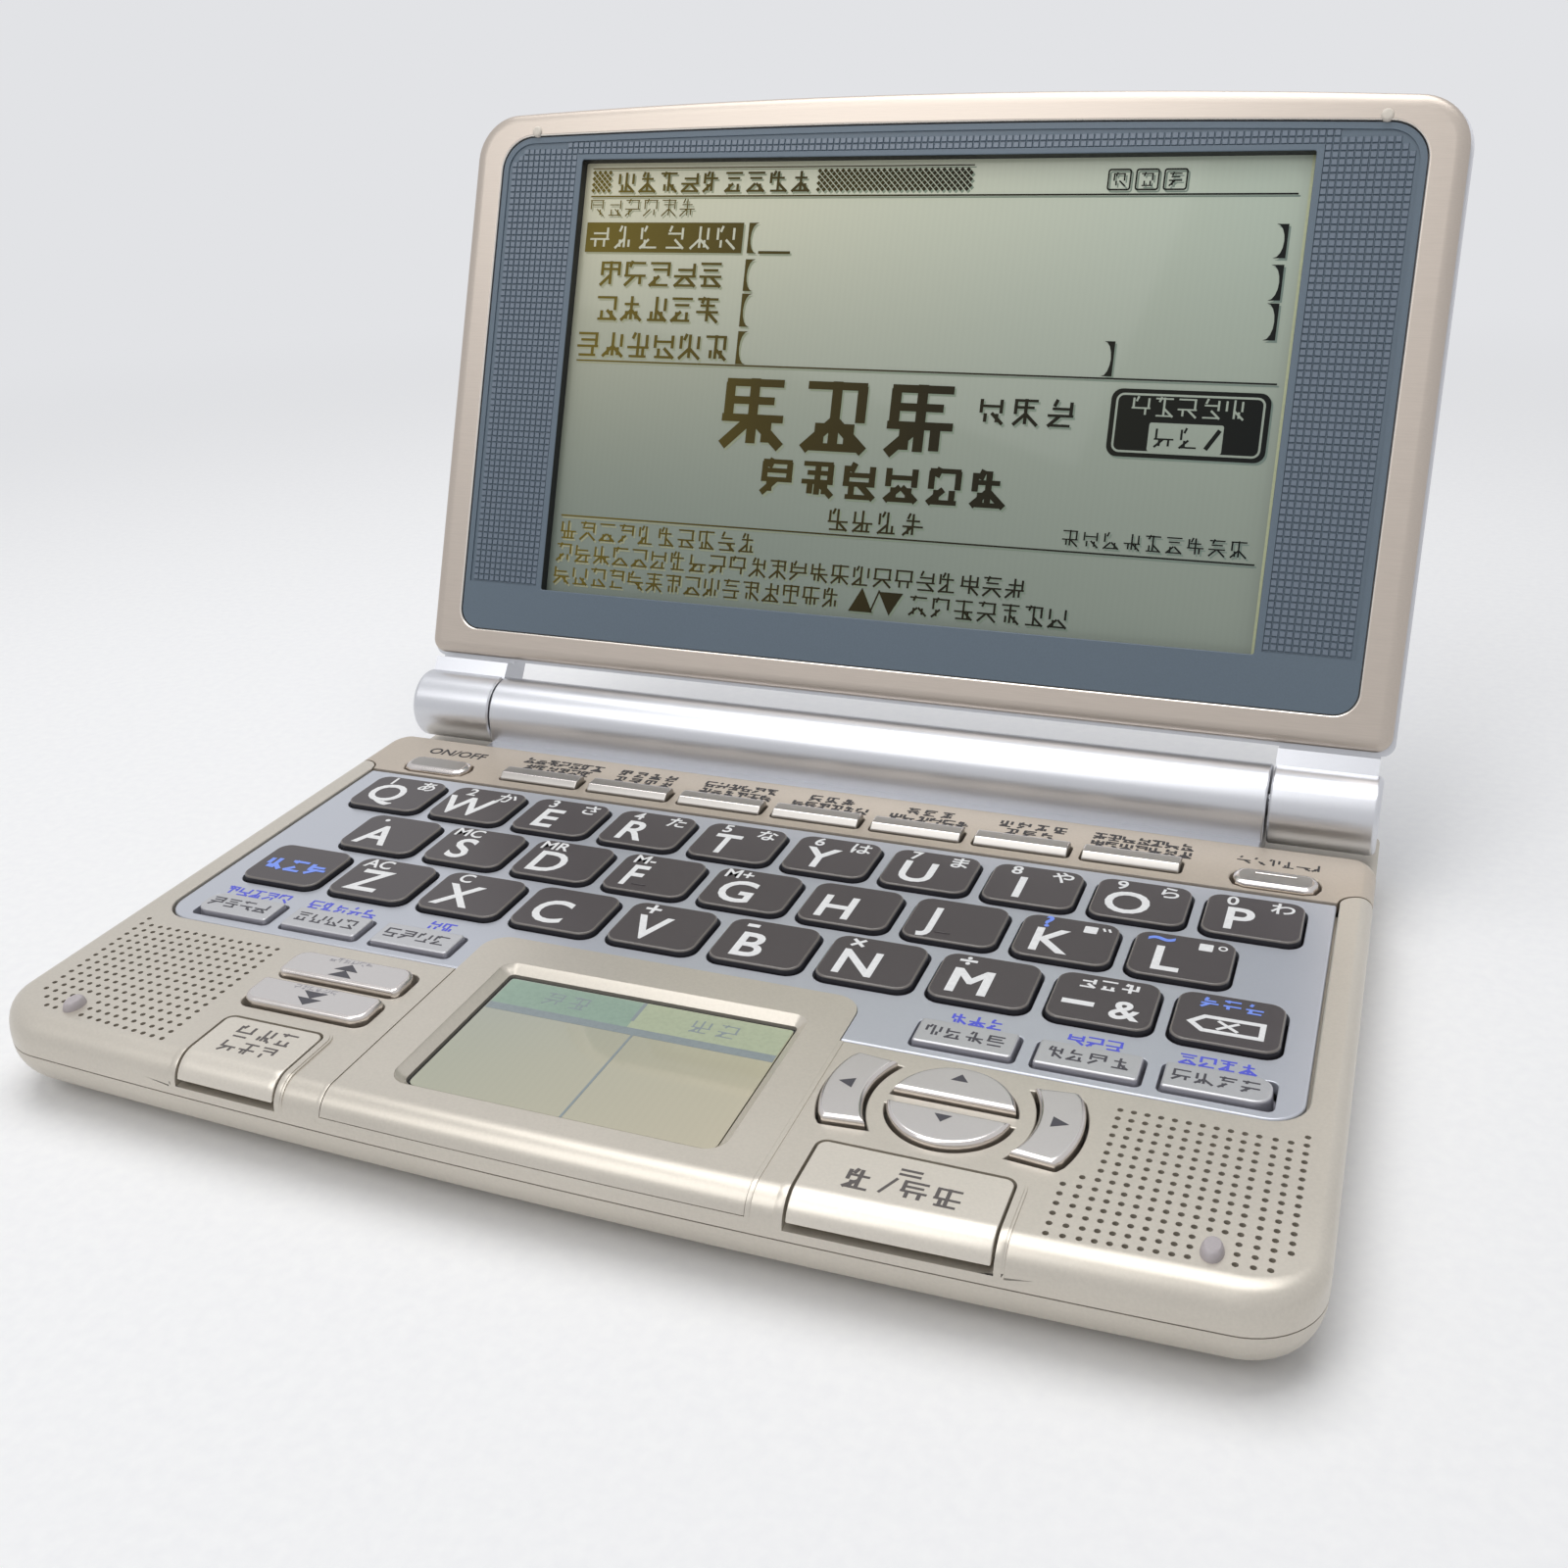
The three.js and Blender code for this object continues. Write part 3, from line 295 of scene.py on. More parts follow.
def carve(made, shape, operation="DIFFERENCE"):
    """Cuts a shape out of an object, or joins it on, and removes the cutter."""
    cutter = raw_object(shape, made.name + "_cutter")
    fewest = 5 if operation == "INTERSECT" else len(made.data.polygons) * LEAST_SHARE
    kept = made.data.copy()
    for solver in ("MANIFOLD", "EXACT"):
        change = made.modifiers.new("carve", "BOOLEAN")
        change.operation = operation
        change.object = cutter
        change.solver = solver
        apply_modifiers(made)
        if len(made.data.polygons) >= fewest:
            break
        made.data = kept.copy()
    else:
        raise RuntimeError("No solver could carve " + made.name)
    bpy.data.meshes.remove(kept)
    bpy.data.objects.remove(cutter)


def finish_piece(made, body, finishes, nodes=(), place=PLAN, angle=32):
    """Gives a drawn piece its finishes and its place, and holds it on its body.

    The finishes fill the piece's slots in their order, over any empty slot that carving left.
    """
    slots = made.data.materials
    for index, finish in enumerate(finishes):
        if index < len(slots):
            slots[index] = MATERIALS[finish]
        else:
            slots.append(MATERIALS[finish])
    made.data.transform(place)
    made.data.shade_smooth()
    made.data.set_sharp_from_angle(angle=math.radians(angle))
    even = made.modifiers.new("even_normals", "WEIGHTED_NORMAL")
    even.keep_sharp = True
    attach(made, body)
    if nodes:
        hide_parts(*nodes)


# Legends

# Ink is a few hundredths of a millimetre thick, and each stroke lies a little over the one before.
INK_DEPTH = 0.03
STROKE_STEP = 0.001
# Height of a capital letter as a share of the font's size
CAPITAL = 0.69
TEXTS = {}


def text_mesh(words, height, weight):
    """A thin solid mesh of a character or mark from Blender's own font, its middle at zero."""
    key = (words, height, weight)
    if key not in TEXTS:
        curve = bpy.data.curves.new("letters", "FONT")
        curve.body = words
        curve.size = height / CAPITAL
        curve.offset = weight
        curve.extrude = INK_DEPTH / 2
        curve.resolution_u = 4
        made = bpy.data.objects.new("letters", curve)
        bpy.context.collection.objects.link(made)
        graph = bpy.context.evaluated_depsgraph_get()
        graph.update()
        data = bpy.data.meshes.new_from_object(made.evaluated_get(graph))
        bpy.data.objects.remove(made)
        bpy.data.curves.remove(curve)
        points = [vertex.co for vertex in data.vertices]
        middle_x = (min(p.x for p in points) + max(p.x for p in points)) / 2
        middle_y = (min(p.y for p in points) + max(p.y for p in points)) / 2
        data.transform(Matrix.Translation((-middle_x, -middle_y, INK_DEPTH / 2)))
        shape = bmesh.new()
        shape.from_mesh(data)
        bmesh.ops.remove_doubles(shape, verts=shape.verts[:], dist=SAME_POINT)
        shape.to_mesh(data)
        shape.free()
        TEXTS[key] = data
    return TEXTS[key]


# Strokes of the made-up characters, for a character one unit high; level strokes are thinner
STROKES = (
    ((-0.42, 0.40), (0.42, 0.40)),
    ((-0.30, 0.16), (0.30, 0.16)),
    ((-0.45, -0.08), (0.45, -0.08)),
    ((-0.36, -0.42), (0.36, -0.42)),
    ((0.0, 0.46), (0.0, -0.42)),
    ((-0.36, 0.40), (-0.36, -0.08)),
    ((0.36, 0.40), (0.36, -0.08)),
    ((-0.02, -0.08), (-0.42, -0.46)),
    ((0.02, -0.08), (0.44, -0.46)),
    ((-0.20, -0.10), (-0.20, -0.40)),
    ((0.22, -0.10), (0.22, -0.40)),
    ((-0.14, 0.48), (-0.24, 0.24)),
)
LEVEL_SHARE = 0.75


class Print:
    """Collects flat printed marks, each a thin closed body, on a surface at one height."""

    def __init__(self, z, draw=None, thickness=INK_DEPTH):
        self.shape = bmesh.new()
        self.z = z
        self.draw = draw
        self.thickness = thickness
        self.offset = (0, 0)

    def letters(self, words, centre, height, slot, weight=0.0, width=1.0, rise=0.0):
        """Adds a mark with its middle at a place."""
        old_verts = set(self.shape.verts)
        old_faces = set(self.shape.faces)
        self.shape.from_mesh(text_mesh(words, height, weight))
        verts = [vert for vert in self.shape.verts if vert not in old_verts]
        place = Matrix.Translation((*centre, self.z + rise)) @ Matrix.Diagonal((width, 1, 1, 1))
        bmesh.ops.transform(self.shape, matrix=place, verts=verts)
        for face in self.shape.faces:
            if face not in old_faces:
                face.material_index = slot

    def loop(self, points, rise):
        """Adds the corners of an outline at a height over the surface."""
        across, up = self.offset
        z = self.z + rise
        return [self.shape.verts.new((x + across, y + up, z)) for x, y in points]

    def face(self, verts, slot):
        self.shape.faces.new(verts).material_index = slot

    def side(self, first, second, step, slot):
        """Adds the face between two loops, from one step to the next."""
        after = (step + 1) % len(first)
        self.face((first[step], first[after], second[after], second[step]), slot)

    def block(self, points, slot, rise=0.0):
        """Adds a flat polygon mark through counterclockwise points."""
        low = self.loop(points, rise)
        high = self.loop(points, rise + self.thickness)
        self.face(list(reversed(low)), slot)
        self.face(high, slot)
        for step in range(len(points)):
            self.side(low, high, step, slot)

    def bar(self, start, end, width, slot, rise=0.0):
        """Adds a straight stroke between two points."""
        along = Vector((end[0] - start[0], end[1] - start[1])).normalized()
        side = Vector((-along.y, along.x)) * width / 2
        first = Vector(start)
        last = Vector(end)
        corners = (first - side, last - side, last + side, first + side)
        self.block([tuple(corner) for corner in corners], slot, rise)

    def ring(self, outline, width, slot):
        """Adds a line that runs round a closed outline."""
        inner = offset_loop(outline, width)
        low_out = self.loop(outline, 0)
        low_in = self.loop(inner, 0)
        high_out = self.loop(outline, self.thickness)
        high_in = self.loop(inner, self.thickness)
        round_trip = (low_out, high_out, high_in, low_in, low_out)
        for step in range(len(outline)):
            for first, second in zip(round_trip, round_trip[1:]):
                self.side(first, second, step, slot)

    def glyph(self, centre, size, slot, weight=0.1, strokes=6, rise=0.0):
        """Adds a made-up character of straight strokes that belongs to no script."""
        picked = sorted(self.draw.sample(range(len(STROKES)), strokes))
        for lift, pick in enumerate(picked):
            (start_x, start_y), (end_x, end_y) = STROKES[pick]
            level = abs(start_y - end_y) < 0.05
            width = size * weight * (LEVEL_SHARE if level else 1.0)
            start = (centre[0] + start_x * size, centre[1] + start_y * size)
            end = (centre[0] + end_x * size, centre[1] + end_y * size)
            self.bar(start, end, width, slot, rise + lift * STROKE_STEP)

    def word(self, left, middle, size, count, slot, pitch=1.08, weight=0.1, strokes=5, rise=0.0):
        """Adds a row of made-up characters from a left edge."""
        for step in range(count):
            centre = (left + size / 2 + step * size * pitch, middle)
            self.glyph(centre, size, slot, weight, strokes, rise)

    def join(self, made):
        """Adds the marks to an object's mesh, before it is moved to its place."""
        self.shape.from_mesh(made.data)
        self.shape.to_mesh(made.data)
        self.shape.free()


# Colours and nodes

def linear(code):
    """A linear colour from an sRGB hex code."""
    parts = [int(code[start:start + 2], 16) / 255 for start in (1, 3, 5)]
    bright = [((part + 0.055) / 1.055) ** 2.4 for part in parts]
    values = [part / 12.92 if part <= 0.04045 else value for part, value in zip(parts, bright)]
    return (*values, 1.0)


def full_colour(choice):
    """A linear colour with alpha, from an sRGB hex code or from a colour setting."""
    return linear(choice) if isinstance(choice, str) else (*choice, 1.0)


def toned(colour, share):
    """A colour that is darker or lighter by a share."""
    return (*(min(1, part * share) for part in colour[:3]), 1)


def add_node(tree, kind, settings=None, links=None):
    """Adds a node with its settings and its incoming links, and returns it."""
    node = tree.nodes.new(kind)
    for name, value in (settings or {}).items():
        if isinstance(name, int):
            node.inputs[name].default_value = value
        elif name in node.inputs and not hasattr(node, name):
            node.inputs[name].default_value = value
        else:
            setattr(node, name, value)
    for name, source in (links or {}).items():
        tree.links.new(source, node.inputs[name])
    return node


def calculated(tree, operation, *terms):
    """The output of a maths node; each term is a number or another node's output."""
    settings = {"operation": operation}
    links = {}
    for index, term in enumerate(terms):
        held = settings if isinstance(term, (int, float)) else links
        held[index] = term
    return add_node(tree, "ShaderNodeMath", settings, links).outputs[0]


def ramp(tree, source, stops):
    """Adds a colour ramp through (place, colour) stops."""
    node = add_node(tree, "ShaderNodeValToRGB", links={"Fac": source})
    stair = node.color_ramp
    stair.elements[0].position = stops[0][0]
    stair.elements[0].color = stops[0][1]
    stair.elements[1].position = stops[-1][0]
    stair.elements[1].color = stops[-1][1]
    for place, colour in stops[1:-1]:
        element = stair.elements.new(place)
        element.color = colour
    return node


def between(tree, source, low, high):
    """Maps a 0 to 1 value to a range."""
    limits = {"To Min": low, "To Max": high}
    return add_node(tree, "ShaderNodeMapRange", limits, {"Value": source}).outputs["Result"]


def across_range(tree, source, low, high):
    """Maps a coordinate in metres to 0 to 1 between two places."""
    limits = {"From Min": low, "From Max": high}
    return add_node(tree, "ShaderNodeMapRange", limits, {"Value": source}).outputs["Result"]


def start_material(name):
    """A new material with its shader, and object coordinates in metres."""
    material = bpy.data.materials.new(name)
    material.use_nodes = True
    tree = material.node_tree
    shader = tree.nodes["Principled BSDF"]
    place = add_node(tree, "ShaderNodeTexCoord").outputs["Object"]
    return material, tree, shader, place


def noise(tree, place, grain, detail=2.0, rough=0.5, stretch=None):
    """Noise whose grain is given in millimetres."""
    if stretch:
        place = add_node(
            tree, "ShaderNodeMapping", {"Scale": stretch}, {"Vector": place}).outputs["Vector"]
    settings = {"Scale": 1 / (grain * MM), "Detail": detail, "Roughness": rough}
    return add_node(tree, "ShaderNodeTexNoise", settings, {"Vector": place}).outputs["Fac"]


def colour_by(tree, shader, source, stops):
    """Lets the base colour follow a 0 to 1 value through (place, colour) stops."""
    tree.links.new(ramp(tree, source, stops).outputs["Color"], shader.inputs["Base Color"])


def roughness_by(tree, shader, source, low, high):
    """Lets the roughness follow a 0 to 1 value through a range."""
    tree.links.new(between(tree, source, low, high), shader.inputs["Roughness"])


def bump(tree, shader, height, depth):
    """Bump whose full height is given in millimetres."""
    settings = {"Strength": 1.0, "Distance": depth * MM}
    node = add_node(tree, "ShaderNodeBump", settings, {"Height": height})
    tree.links.new(node.outputs["Normal"], shader.inputs["Normal"])


def painted(name, choice, metallic, roughness, fleck=0.05, depth=0.004):
    """Sprayed paint over moulded plastic: fine flecks of metal powder and a little orange peel."""
    material, tree, shader, place = start_material(name)
    colour = full_colour(choice)
    flecks = noise(tree, place, 0.35, detail=3.0, rough=0.6)
    clouds = noise(tree, place, 22)
    both = calculated(tree, "MULTIPLY_ADD", flecks, 0.5, calculated(tree, "MULTIPLY", clouds, 0.5))
    darker, lighter = toned(colour, 1 - fleck), toned(colour, 1 + fleck)
    colour_by(tree, shader, both, [(0.35, darker), (0.5, colour), (0.65, lighter)])
    roughness_by(tree, shader, flecks, roughness - 0.03, roughness + 0.03)
    shader.inputs["Metallic"].default_value = metallic
    bump(tree, shader, noise(tree, place, 1.6), depth)
    return material


def moulded(name, choice, roughness, grain=0.25, depth=0.006):
    """Moulded plastic with a fine spark-eroded grain."""
    material, tree, shader, place = start_material(name)
    colour = full_colour(choice)
    sparks = noise(tree, place, grain, detail=4.0, rough=0.6)
    colour_by(tree, shader, sparks, [(0.35, toned(colour, 0.93)), (0.65, colour)])
    roughness_by(tree, shader, sparks, roughness - 0.04, roughness + 0.05)
    shader.inputs["IOR"].default_value = 1.53
    bump(tree, shader, sparks, depth)
    return material


def brushed(name, choice, roughness, metallic, stretch):
    """Brushed metal finish: long fine scratches in one direction."""
    material, tree, shader, place = start_material(name)
    colour = full_colour(choice)
    lines = noise(tree, place, 0.14, detail=3.0, rough=0.6, stretch=stretch)
    colour_by(tree, shader, lines, [(0.3, toned(colour, 0.96)), (0.7, toned(colour, 1.03))])
    roughness_by(tree, shader, lines, roughness - 0.04, roughness + 0.05)
    shader.inputs["Metallic"].default_value = metallic
    bump(tree, shader, lines, 0.0008)
    return material


def printed(name, choice, roughness=0.45):
    """Pad-printed ink: even colour with a slight mottle from the pad."""
    material, tree, shader, place = start_material(name)
    colour = full_colour(choice)
    mottle = noise(tree, place, 0.5)
    colour_by(tree, shader, mottle, [(0.3, toned(colour, 0.92)), (0.6, colour)])
    shader.inputs["Roughness"].default_value = roughness
    return material


def plated(name, code, roughness):
    """Chrome plating over moulded plastic: bright, with a faint ripple."""
    material, tree, shader, place = start_material(name)
    colour = linear(code)
    ripple = noise(tree, place, 2.5)
    colour_by(tree, shader, ripple, [(0.3, toned(colour, 0.95)), (0.7, colour)])
    roughness_by(tree, shader, ripple, roughness - 0.03, roughness + 0.04)
    shader.inputs["Metallic"].default_value = 1.0
    bump(tree, shader, ripple, 0.004)
    return material


def liquid_crystal(name, corner_tints, low, high, up_axis="Z", gloss=0.25):
    """Reflective liquid crystal glass under a clear pane: its tint drifts from corner to corner."""
    material, tree, shader, place = start_material(name)
    split = add_node(tree, "ShaderNodeSeparateXYZ", links={"Vector": place})
    wander = calculated(tree, "MULTIPLY_ADD", noise(tree, place, 30, detail=1.0), 0.14, -0.07)
    across = across_range(tree, split.outputs["X"], low[0], high[0])
    moved = calculated(tree, "ADD", across, wander)
    height = across_range(tree, split.outputs[up_axis], low[1], high[1])
    up = calculated(tree, "POWER", height, 2.0)
    # A mix node's colours are its inputs 6 and 7 and its output 2.
    rows = []
    for first, second in (corner_tints[:2], corner_tints[2:]):
        tints = {"data_type": "RGBA", 6: full_colour(first), 7: full_colour(second)}
        rows.append(add_node(tree, "ShaderNodeMix", tints, {0: moved}).outputs[2])
    links = {0: up, 6: rows[0], 7: rows[1]}
    whole = add_node(tree, "ShaderNodeMix", {"data_type": "RGBA"}, links).outputs[2]
    # The real cells are 0.23 mm wide, too fine to show, so faint bands stand in at 0.9 mm.
    bands = {"wave_type": "BANDS", "bands_direction": "X", "Scale": wave_scale(0.9)}
    cells = add_node(tree, "ShaderNodeTexWave", bands, {"Vector": place}).outputs["Fac"]
    links = {0: whole, "Scale": between(tree, cells, 0.985, 1.0)}
    tinted = add_node(tree, "ShaderNodeVectorMath", {"operation": "SCALE"}, links)
    tree.links.new(tinted.outputs[0], shader.inputs["Base Color"])
    shader.inputs["Roughness"].default_value = 0.45
    shader.inputs["Coat Weight"].default_value = gloss
    shader.inputs["Coat Roughness"].default_value = 0.04
    return material


def wave_scale(period):
    """The wave texture's scale for bands that repeat every so many millimetres."""
    return math.tau / 20 / (period * MM)


def dark_cells(name, stops):
    """Switched-on liquid crystal cells, whose tint changes from left to right across the glass."""
    material, tree, shader, place = start_material(name)
    split = add_node(tree, "ShaderNodeSeparateXYZ", links={"Vector": place})
    across = across_range(tree, split.outputs["X"], -0.055, 0.055)
    colour_by(tree, shader, across, [(where, linear(code)) for where, code in stops])
    shader.inputs["Roughness"].default_value = 0.4
    shader.inputs["Specular IOR Level"].default_value = 0.12
    return material


MATERIALS = {}


def make_materials(colours):
    """Every finish on the object, by the name of the part of it that wears it."""
    make = MATERIALS
    # Sprayed champagne paint with metal powder on moulded ABS: a satin that flares on the rolls.
    make["deck"] = painted("champagne_metallic_sprayed_abs", colours.deck, 0.5, 0.32)
    # A lighter copy of it on the return and enter keys: painted light, where these keys catch the
    # light.
    make["front_key"] = painted("lit_champagne_abs_painted_light", "#DDD6CA", 0.5, 0.3)
    # The same paint on the lower case, a little rougher where it is thinner.
    make["shell"] = painted("champagne_metallic_sprayed_abs_lower", colours.deck, 0.45, 0.4)
    # Bronze-tinted metallic paint of the strip: browner and softer than the deck.
    make["strip"] = painted("bronze_metallic_sprayed_abs", colours.strip, 0.5, 0.36)
    # Cool silver paint of the plate: smooth, with next to no grain.
    make["plate"] = painted("cool_silver_sprayed_abs", colours.plate, 0.45, 0.3, fleck=0.02)
    # Moulded charcoal key tops: satin, so the rounded edge shows as a thin light line.
    make["key"] = moulded("charcoal_moulded_abs", colours.letter_key, 0.38)
    # Key sides: the same plastic, painted darker and violet as shade where light hardly reaches.
    make["key_side"] = moulded("charcoal_abs_painted_side_shade", "#15121A", 0.5)
    # The rounded edge of a key top: a paler, glossier copy of the key plastic, a painted highlight
    # as a thin pale line.
    make["key_rim"] = moulded("charcoal_abs_painted_edge_highlight", "#7A746F", 0.2)
    # Small keys in sprayed silver: pale tops and a bright front edge, and sides in a darker copy of
    # the paint, a painted shade.
    make["small_key"] = painted("pale_silver_sprayed_abs", "#C6C6C8", 0.5, 0.32, fleck=0.03)
    make["small_key_side"] = painted("silver_abs_painted_side_shade_and_page_key_print", "#A3A1A8", 0.5, 0.34, fleck=0.03)
    # Satin chrome on the flat tops of the strip keys.
    make["bar_key"] = plated("satin_chrome_plated_abs", "#ABA7A2", 0.36)
    # Satin silver tops of the page and arrow keys, inside a polished edge.
    make["page_key"] = painted("satin_silver_sprayed_abs", "#D2CECC", 0.7, 0.3, fleck=0.02)
    # Polished chrome plating on the keys' rounded edges: a sharp bright line.
    make["chrome"] = plated("chrome_plated_abs", "#D8D2CE", 0.2)
    # Silver paint of the hood, ears and lid back: broad bright bands along the round.
    make["barrel"] = painted(
        "silver_metallic_sprayed_abs", colours.barrel, 0.85, 0.3, fleck=0.015, depth=0.0008)
    # Brushed champagne aluminium of the lid frame: faint lines across its width.
    make["frame"] = brushed(
        "champagne_brushed_aluminium", colours.lid_frame, 0.36, 0.75, (0.04, 1, 1))
    # A lighter, glossier copy of it on the opening's sloping edge: a painted highlight, a thin
    # bright line round the opening.
    make["frame_edge"] = plated("champagne_aluminium_painted_edge_highlight", "#E8E1D8", 0.18)
    # Moulded slate polycarbonate: satin; the polished stud tops are a lighter copy of it, a painted
    # highlight.
    make["bezel"] = moulded("slate_moulded_polycarbonate", colours.bezel, 0.4)
    make["stud"] = moulded("slate_polycarbonate_painted_stud_highlight", colours.stud, 0.28, depth=0.002)
    # Near-black finish on the display's inner walls and surrounds: painted shade in the recesses.
    make["bezel_dark"] = moulded("black_polycarbonate_painted_recess_shade", "#17191C", 0.5)
    # Moulded rubber bumpers: matt, pinkish grey.
    make["rubber"] = moulded("pink_grey_moulded_rubber", "#BCB4B6", 0.6, grain=0.4)
    # Pale lid pads in soft urethane.
    make["pad"] = moulded("cream_moulded_urethane", "#E6DDD0", 0.5, grain=0.4)
    # Dark rubber feet: matt and grainy.
    make["foot"] = moulded("dark_moulded_rubber", "#3B3A3C", 0.7, grain=0.4)
    # Milky silicone of the key mat, seen only through gaps.
    make["mat"] = moulded("white_moulded_silicone", "#D9D7D0", 0.55)
    # Green solder mask over the board's fibreglass.
    make["board"] = moulded("green_coated_fibreglass", "#2E5A38", 0.35)
    # Printed steel can of the cells.
    make["cell"] = painted("grey_printed_steel", "#7F8790", 0.6, 0.3)
    # Turned and polished steel of the pins and screws.
    make["pin"] = plated("polished_steel", "#B9BBBF", 0.2)
    # Pressed paper of the speaker cones.
    make["speaker"] = moulded("black_pressed_paper", "#1C1C1E", 0.7)
    # Pad-printed inks: even, with the slight mottle of the pad.
    make["white_ink"] = printed("white_pad_ink", "#F1F1F1")
    make["blue_ink"] = printed("blue_pad_ink", colours.blue_ink)
    make["pale_blue_ink"] = printed("pale_blue_pad_ink", "#7F9DFA")
    make["dark_ink"] = printed("dark_grey_pad_ink", "#45434A")
    make["brown_ink"] = printed("brown_grey_pad_ink", "#231E1E")
    make["grey_ink"] = printed("warm_grey_pad_ink", "#5B5553")
    # Reflective liquid crystal glass: yellower and lighter at its top left, greener and darker at
    # the bottom; this drift is painted light and shade.
    make["lcd"] = liquid_crystal(
        "reflective_liquid_crystal_glass_painted_light",
        (colours.display, "#909A8D", "#E2DDBE", "#C0CCBA"), (-0.055, 0.028), (0.05, 0.093),
    )
    # Its switched-on cells: olive at the left, nearly black at the right.
    make["lcd_dot"] = dark_cells(
        "liquid_crystal_dark_cells",
        [(0.0, "#776829"), (0.3, "#4A401A"), (0.55, "#2A2512"), (0.8, "#191A13"), (1.0, "#121514")],
    )
    # Their faint shadow on the reflector behind the glass.
    make["lcd_shadow"] = dark_cells(
        "liquid_crystal_cast_shadow", [(0.0, "#B0B090"), (0.5, "#909D88"), (1.0, "#7F8F86")])
    # Light that leaks in along the glass edge.
    make["lcd_edge"] = printed("liquid_crystal_bright_edge", "#C6CCA4", 0.35)
    make["small_lcd"] = liquid_crystal(
        "writing_pad_liquid_crystal_glass",
        ("#ABAC98", "#C0B8A0", "#A4A89F", "#B7B699"), (-0.02, -0.064), (0.016, -0.04), "Y", 0.9,
    )
    # The writing display's touch bar: tinted fields printed under the glass.
    make["green_field"] = printed("green_tint_print", "#95AC9C", 0.3)
    make["yellow_field"] = printed("yellow_green_tint_print", "#B3BCA0", 0.3)
    make["grey_field"] = printed("grey_tint_print", "#8F999C", 0.3)


# Sizes and colours that a user would change

class DictionaryColours(bpy.types.PropertyGroup):
    """Colours of the finishes."""

    deck: bpy.props.FloatVectorProperty(
        name="Deck", description="Champagne paint of the base",
        default=linear("#CFC8BC")[:3], subtype="COLOR", min=0, max=1)
    strip: bpy.props.FloatVectorProperty(
        name="Rear strip", description="Paint of the strip behind the letter keys",
        default=linear("#C6BAAB")[:3], subtype="COLOR", min=0, max=1)
    plate: bpy.props.FloatVectorProperty(
        name="Keyboard plate", description="Cool grey of the plate under the keys",
        default=linear("#C5C8D0")[:3], subtype="COLOR", min=0, max=1)
    letter_key: bpy.props.FloatVectorProperty(
        name="Letter keys", description="Charcoal of the letter key caps",
        default=linear("#4B4546")[:3], subtype="COLOR", min=0, max=1)
    barrel: bpy.props.FloatVectorProperty(
        name="Hinge hood", description="Silver paint of the hinge hood and ears",
        default=linear("#D3D4D8")[:3], subtype="COLOR", min=0, max=1)
    lid_frame: bpy.props.FloatVectorProperty(
        name="Lid frame", description="Brushed champagne of the frame round the display",
        default=linear("#C3B8AD")[:3], subtype="COLOR", min=0, max=1)
    bezel: bpy.props.FloatVectorProperty(
        name="Bezel", description="Slate of the bezel round the display",
        default=linear("#63727F")[:3], subtype="COLOR", min=0, max=1)
    # The stud tops' lighter colour is a painted highlight.
    stud: bpy.props.FloatVectorProperty(
        name="Bezel studs", description="Polished tops of the bezel's studs",
        default=linear("#727E8C")[:3], subtype="COLOR", min=0, max=1)
    display: bpy.props.FloatVectorProperty(
        name="Display", description="Tint of the display's lower left corner",
        default=linear("#7D887D")[:3], subtype="COLOR", min=0, max=1)
    blue_ink: bpy.props.FloatVectorProperty(
        name="Blue legends", description="Ink of the second legends",
        default=linear("#5A60DC")[:3], subtype="COLOR", min=0, max=1)


class DictionarySizes(bpy.types.PropertyGroup):
    """Sizes of the details that the frame's solids leave open."""

    grille_hole: bpy.props.FloatProperty(
        name="Grille hole", description="Width of a speaker hole", unit="LENGTH", precision=5,
        default=0.64 * MM, min=0.3 * MM, max=1.2 * MM)
    letter_height: bpy.props.FloatProperty(
        name="Letter height", description="Height of the letters on the keys", unit="LENGTH",
        precision=5, default=5.3 * MM, min=2 * MM, max=7 * MM)
    key_edge: bpy.props.FloatProperty(
        name="Key edge", description="Radius of the rounded edge of a key top", unit="LENGTH",
        precision=5, default=0.22 * MM, min=0.05 * MM, max=0.8 * MM)
    bezel_grid: bpy.props.FloatProperty(
        name="Bezel grid", description="Distance between the bezel's moulded studs",
        unit="LENGTH", precision=5, default=0.97 * MM, min=0.6 * MM, max=3 * MM)
    legends: bpy.props.BoolProperty(
        name="Legends", description="Print the legends on the keys", default=True)


# Sizes of the object, in plan millimetres

# Case: half width, front edge and its bow, rear of the deck and of the whole, rounded edges, wall
HALF = 74.5
FRONT = -65.0
FRONT_BOW = 1.5
DECK_REAR = 22.0
BODY_REAR = 39.3
FRONT_ROLL = 3.2
SIDE_ROUND = 1.6
REAR_ROUND = 0.6
WALL = 1.4
BASE = {"half": HALF, "near": DECK_REAR, "far": FRONT, "near_corner": 3.0, "far_corner": 8.0,
        "bow": FRONT_BOW}

# Heights over the surface that the feet stand on
UNDERSIDE = 0.7
PARTING = 7.0
SKIRT = 7.14
LEDGE_LOW = 8.4
FLANGE_LOW = 8.8
LIP = 9.2
FLANGE_TOP = 9.5
PLATE_LOW = 9.8
LEDGE_TOP = 10.1
PLATE_TOP = 11.15
DECK_TOP = 11.3
SOFT_TOP = 11.75
KEY_TOP = 11.85
PLATED_TOP = 12.2

# Gap round a piece in its opening, and how far a cutter reaches past what it cuts
GAP = 0.3
OVER = 1.0

# Hinge: its axis, half the hood's length and the radius of the bores for its pins
AXIS_Y = 31.0
AXIS_Z = 13.5
HOOD_HALF = 59.7
PIN_BORE = 2.1


def level(z, inset):
    """A level of a stack that is inset alike all round."""
    return (z, inset, inset, inset)


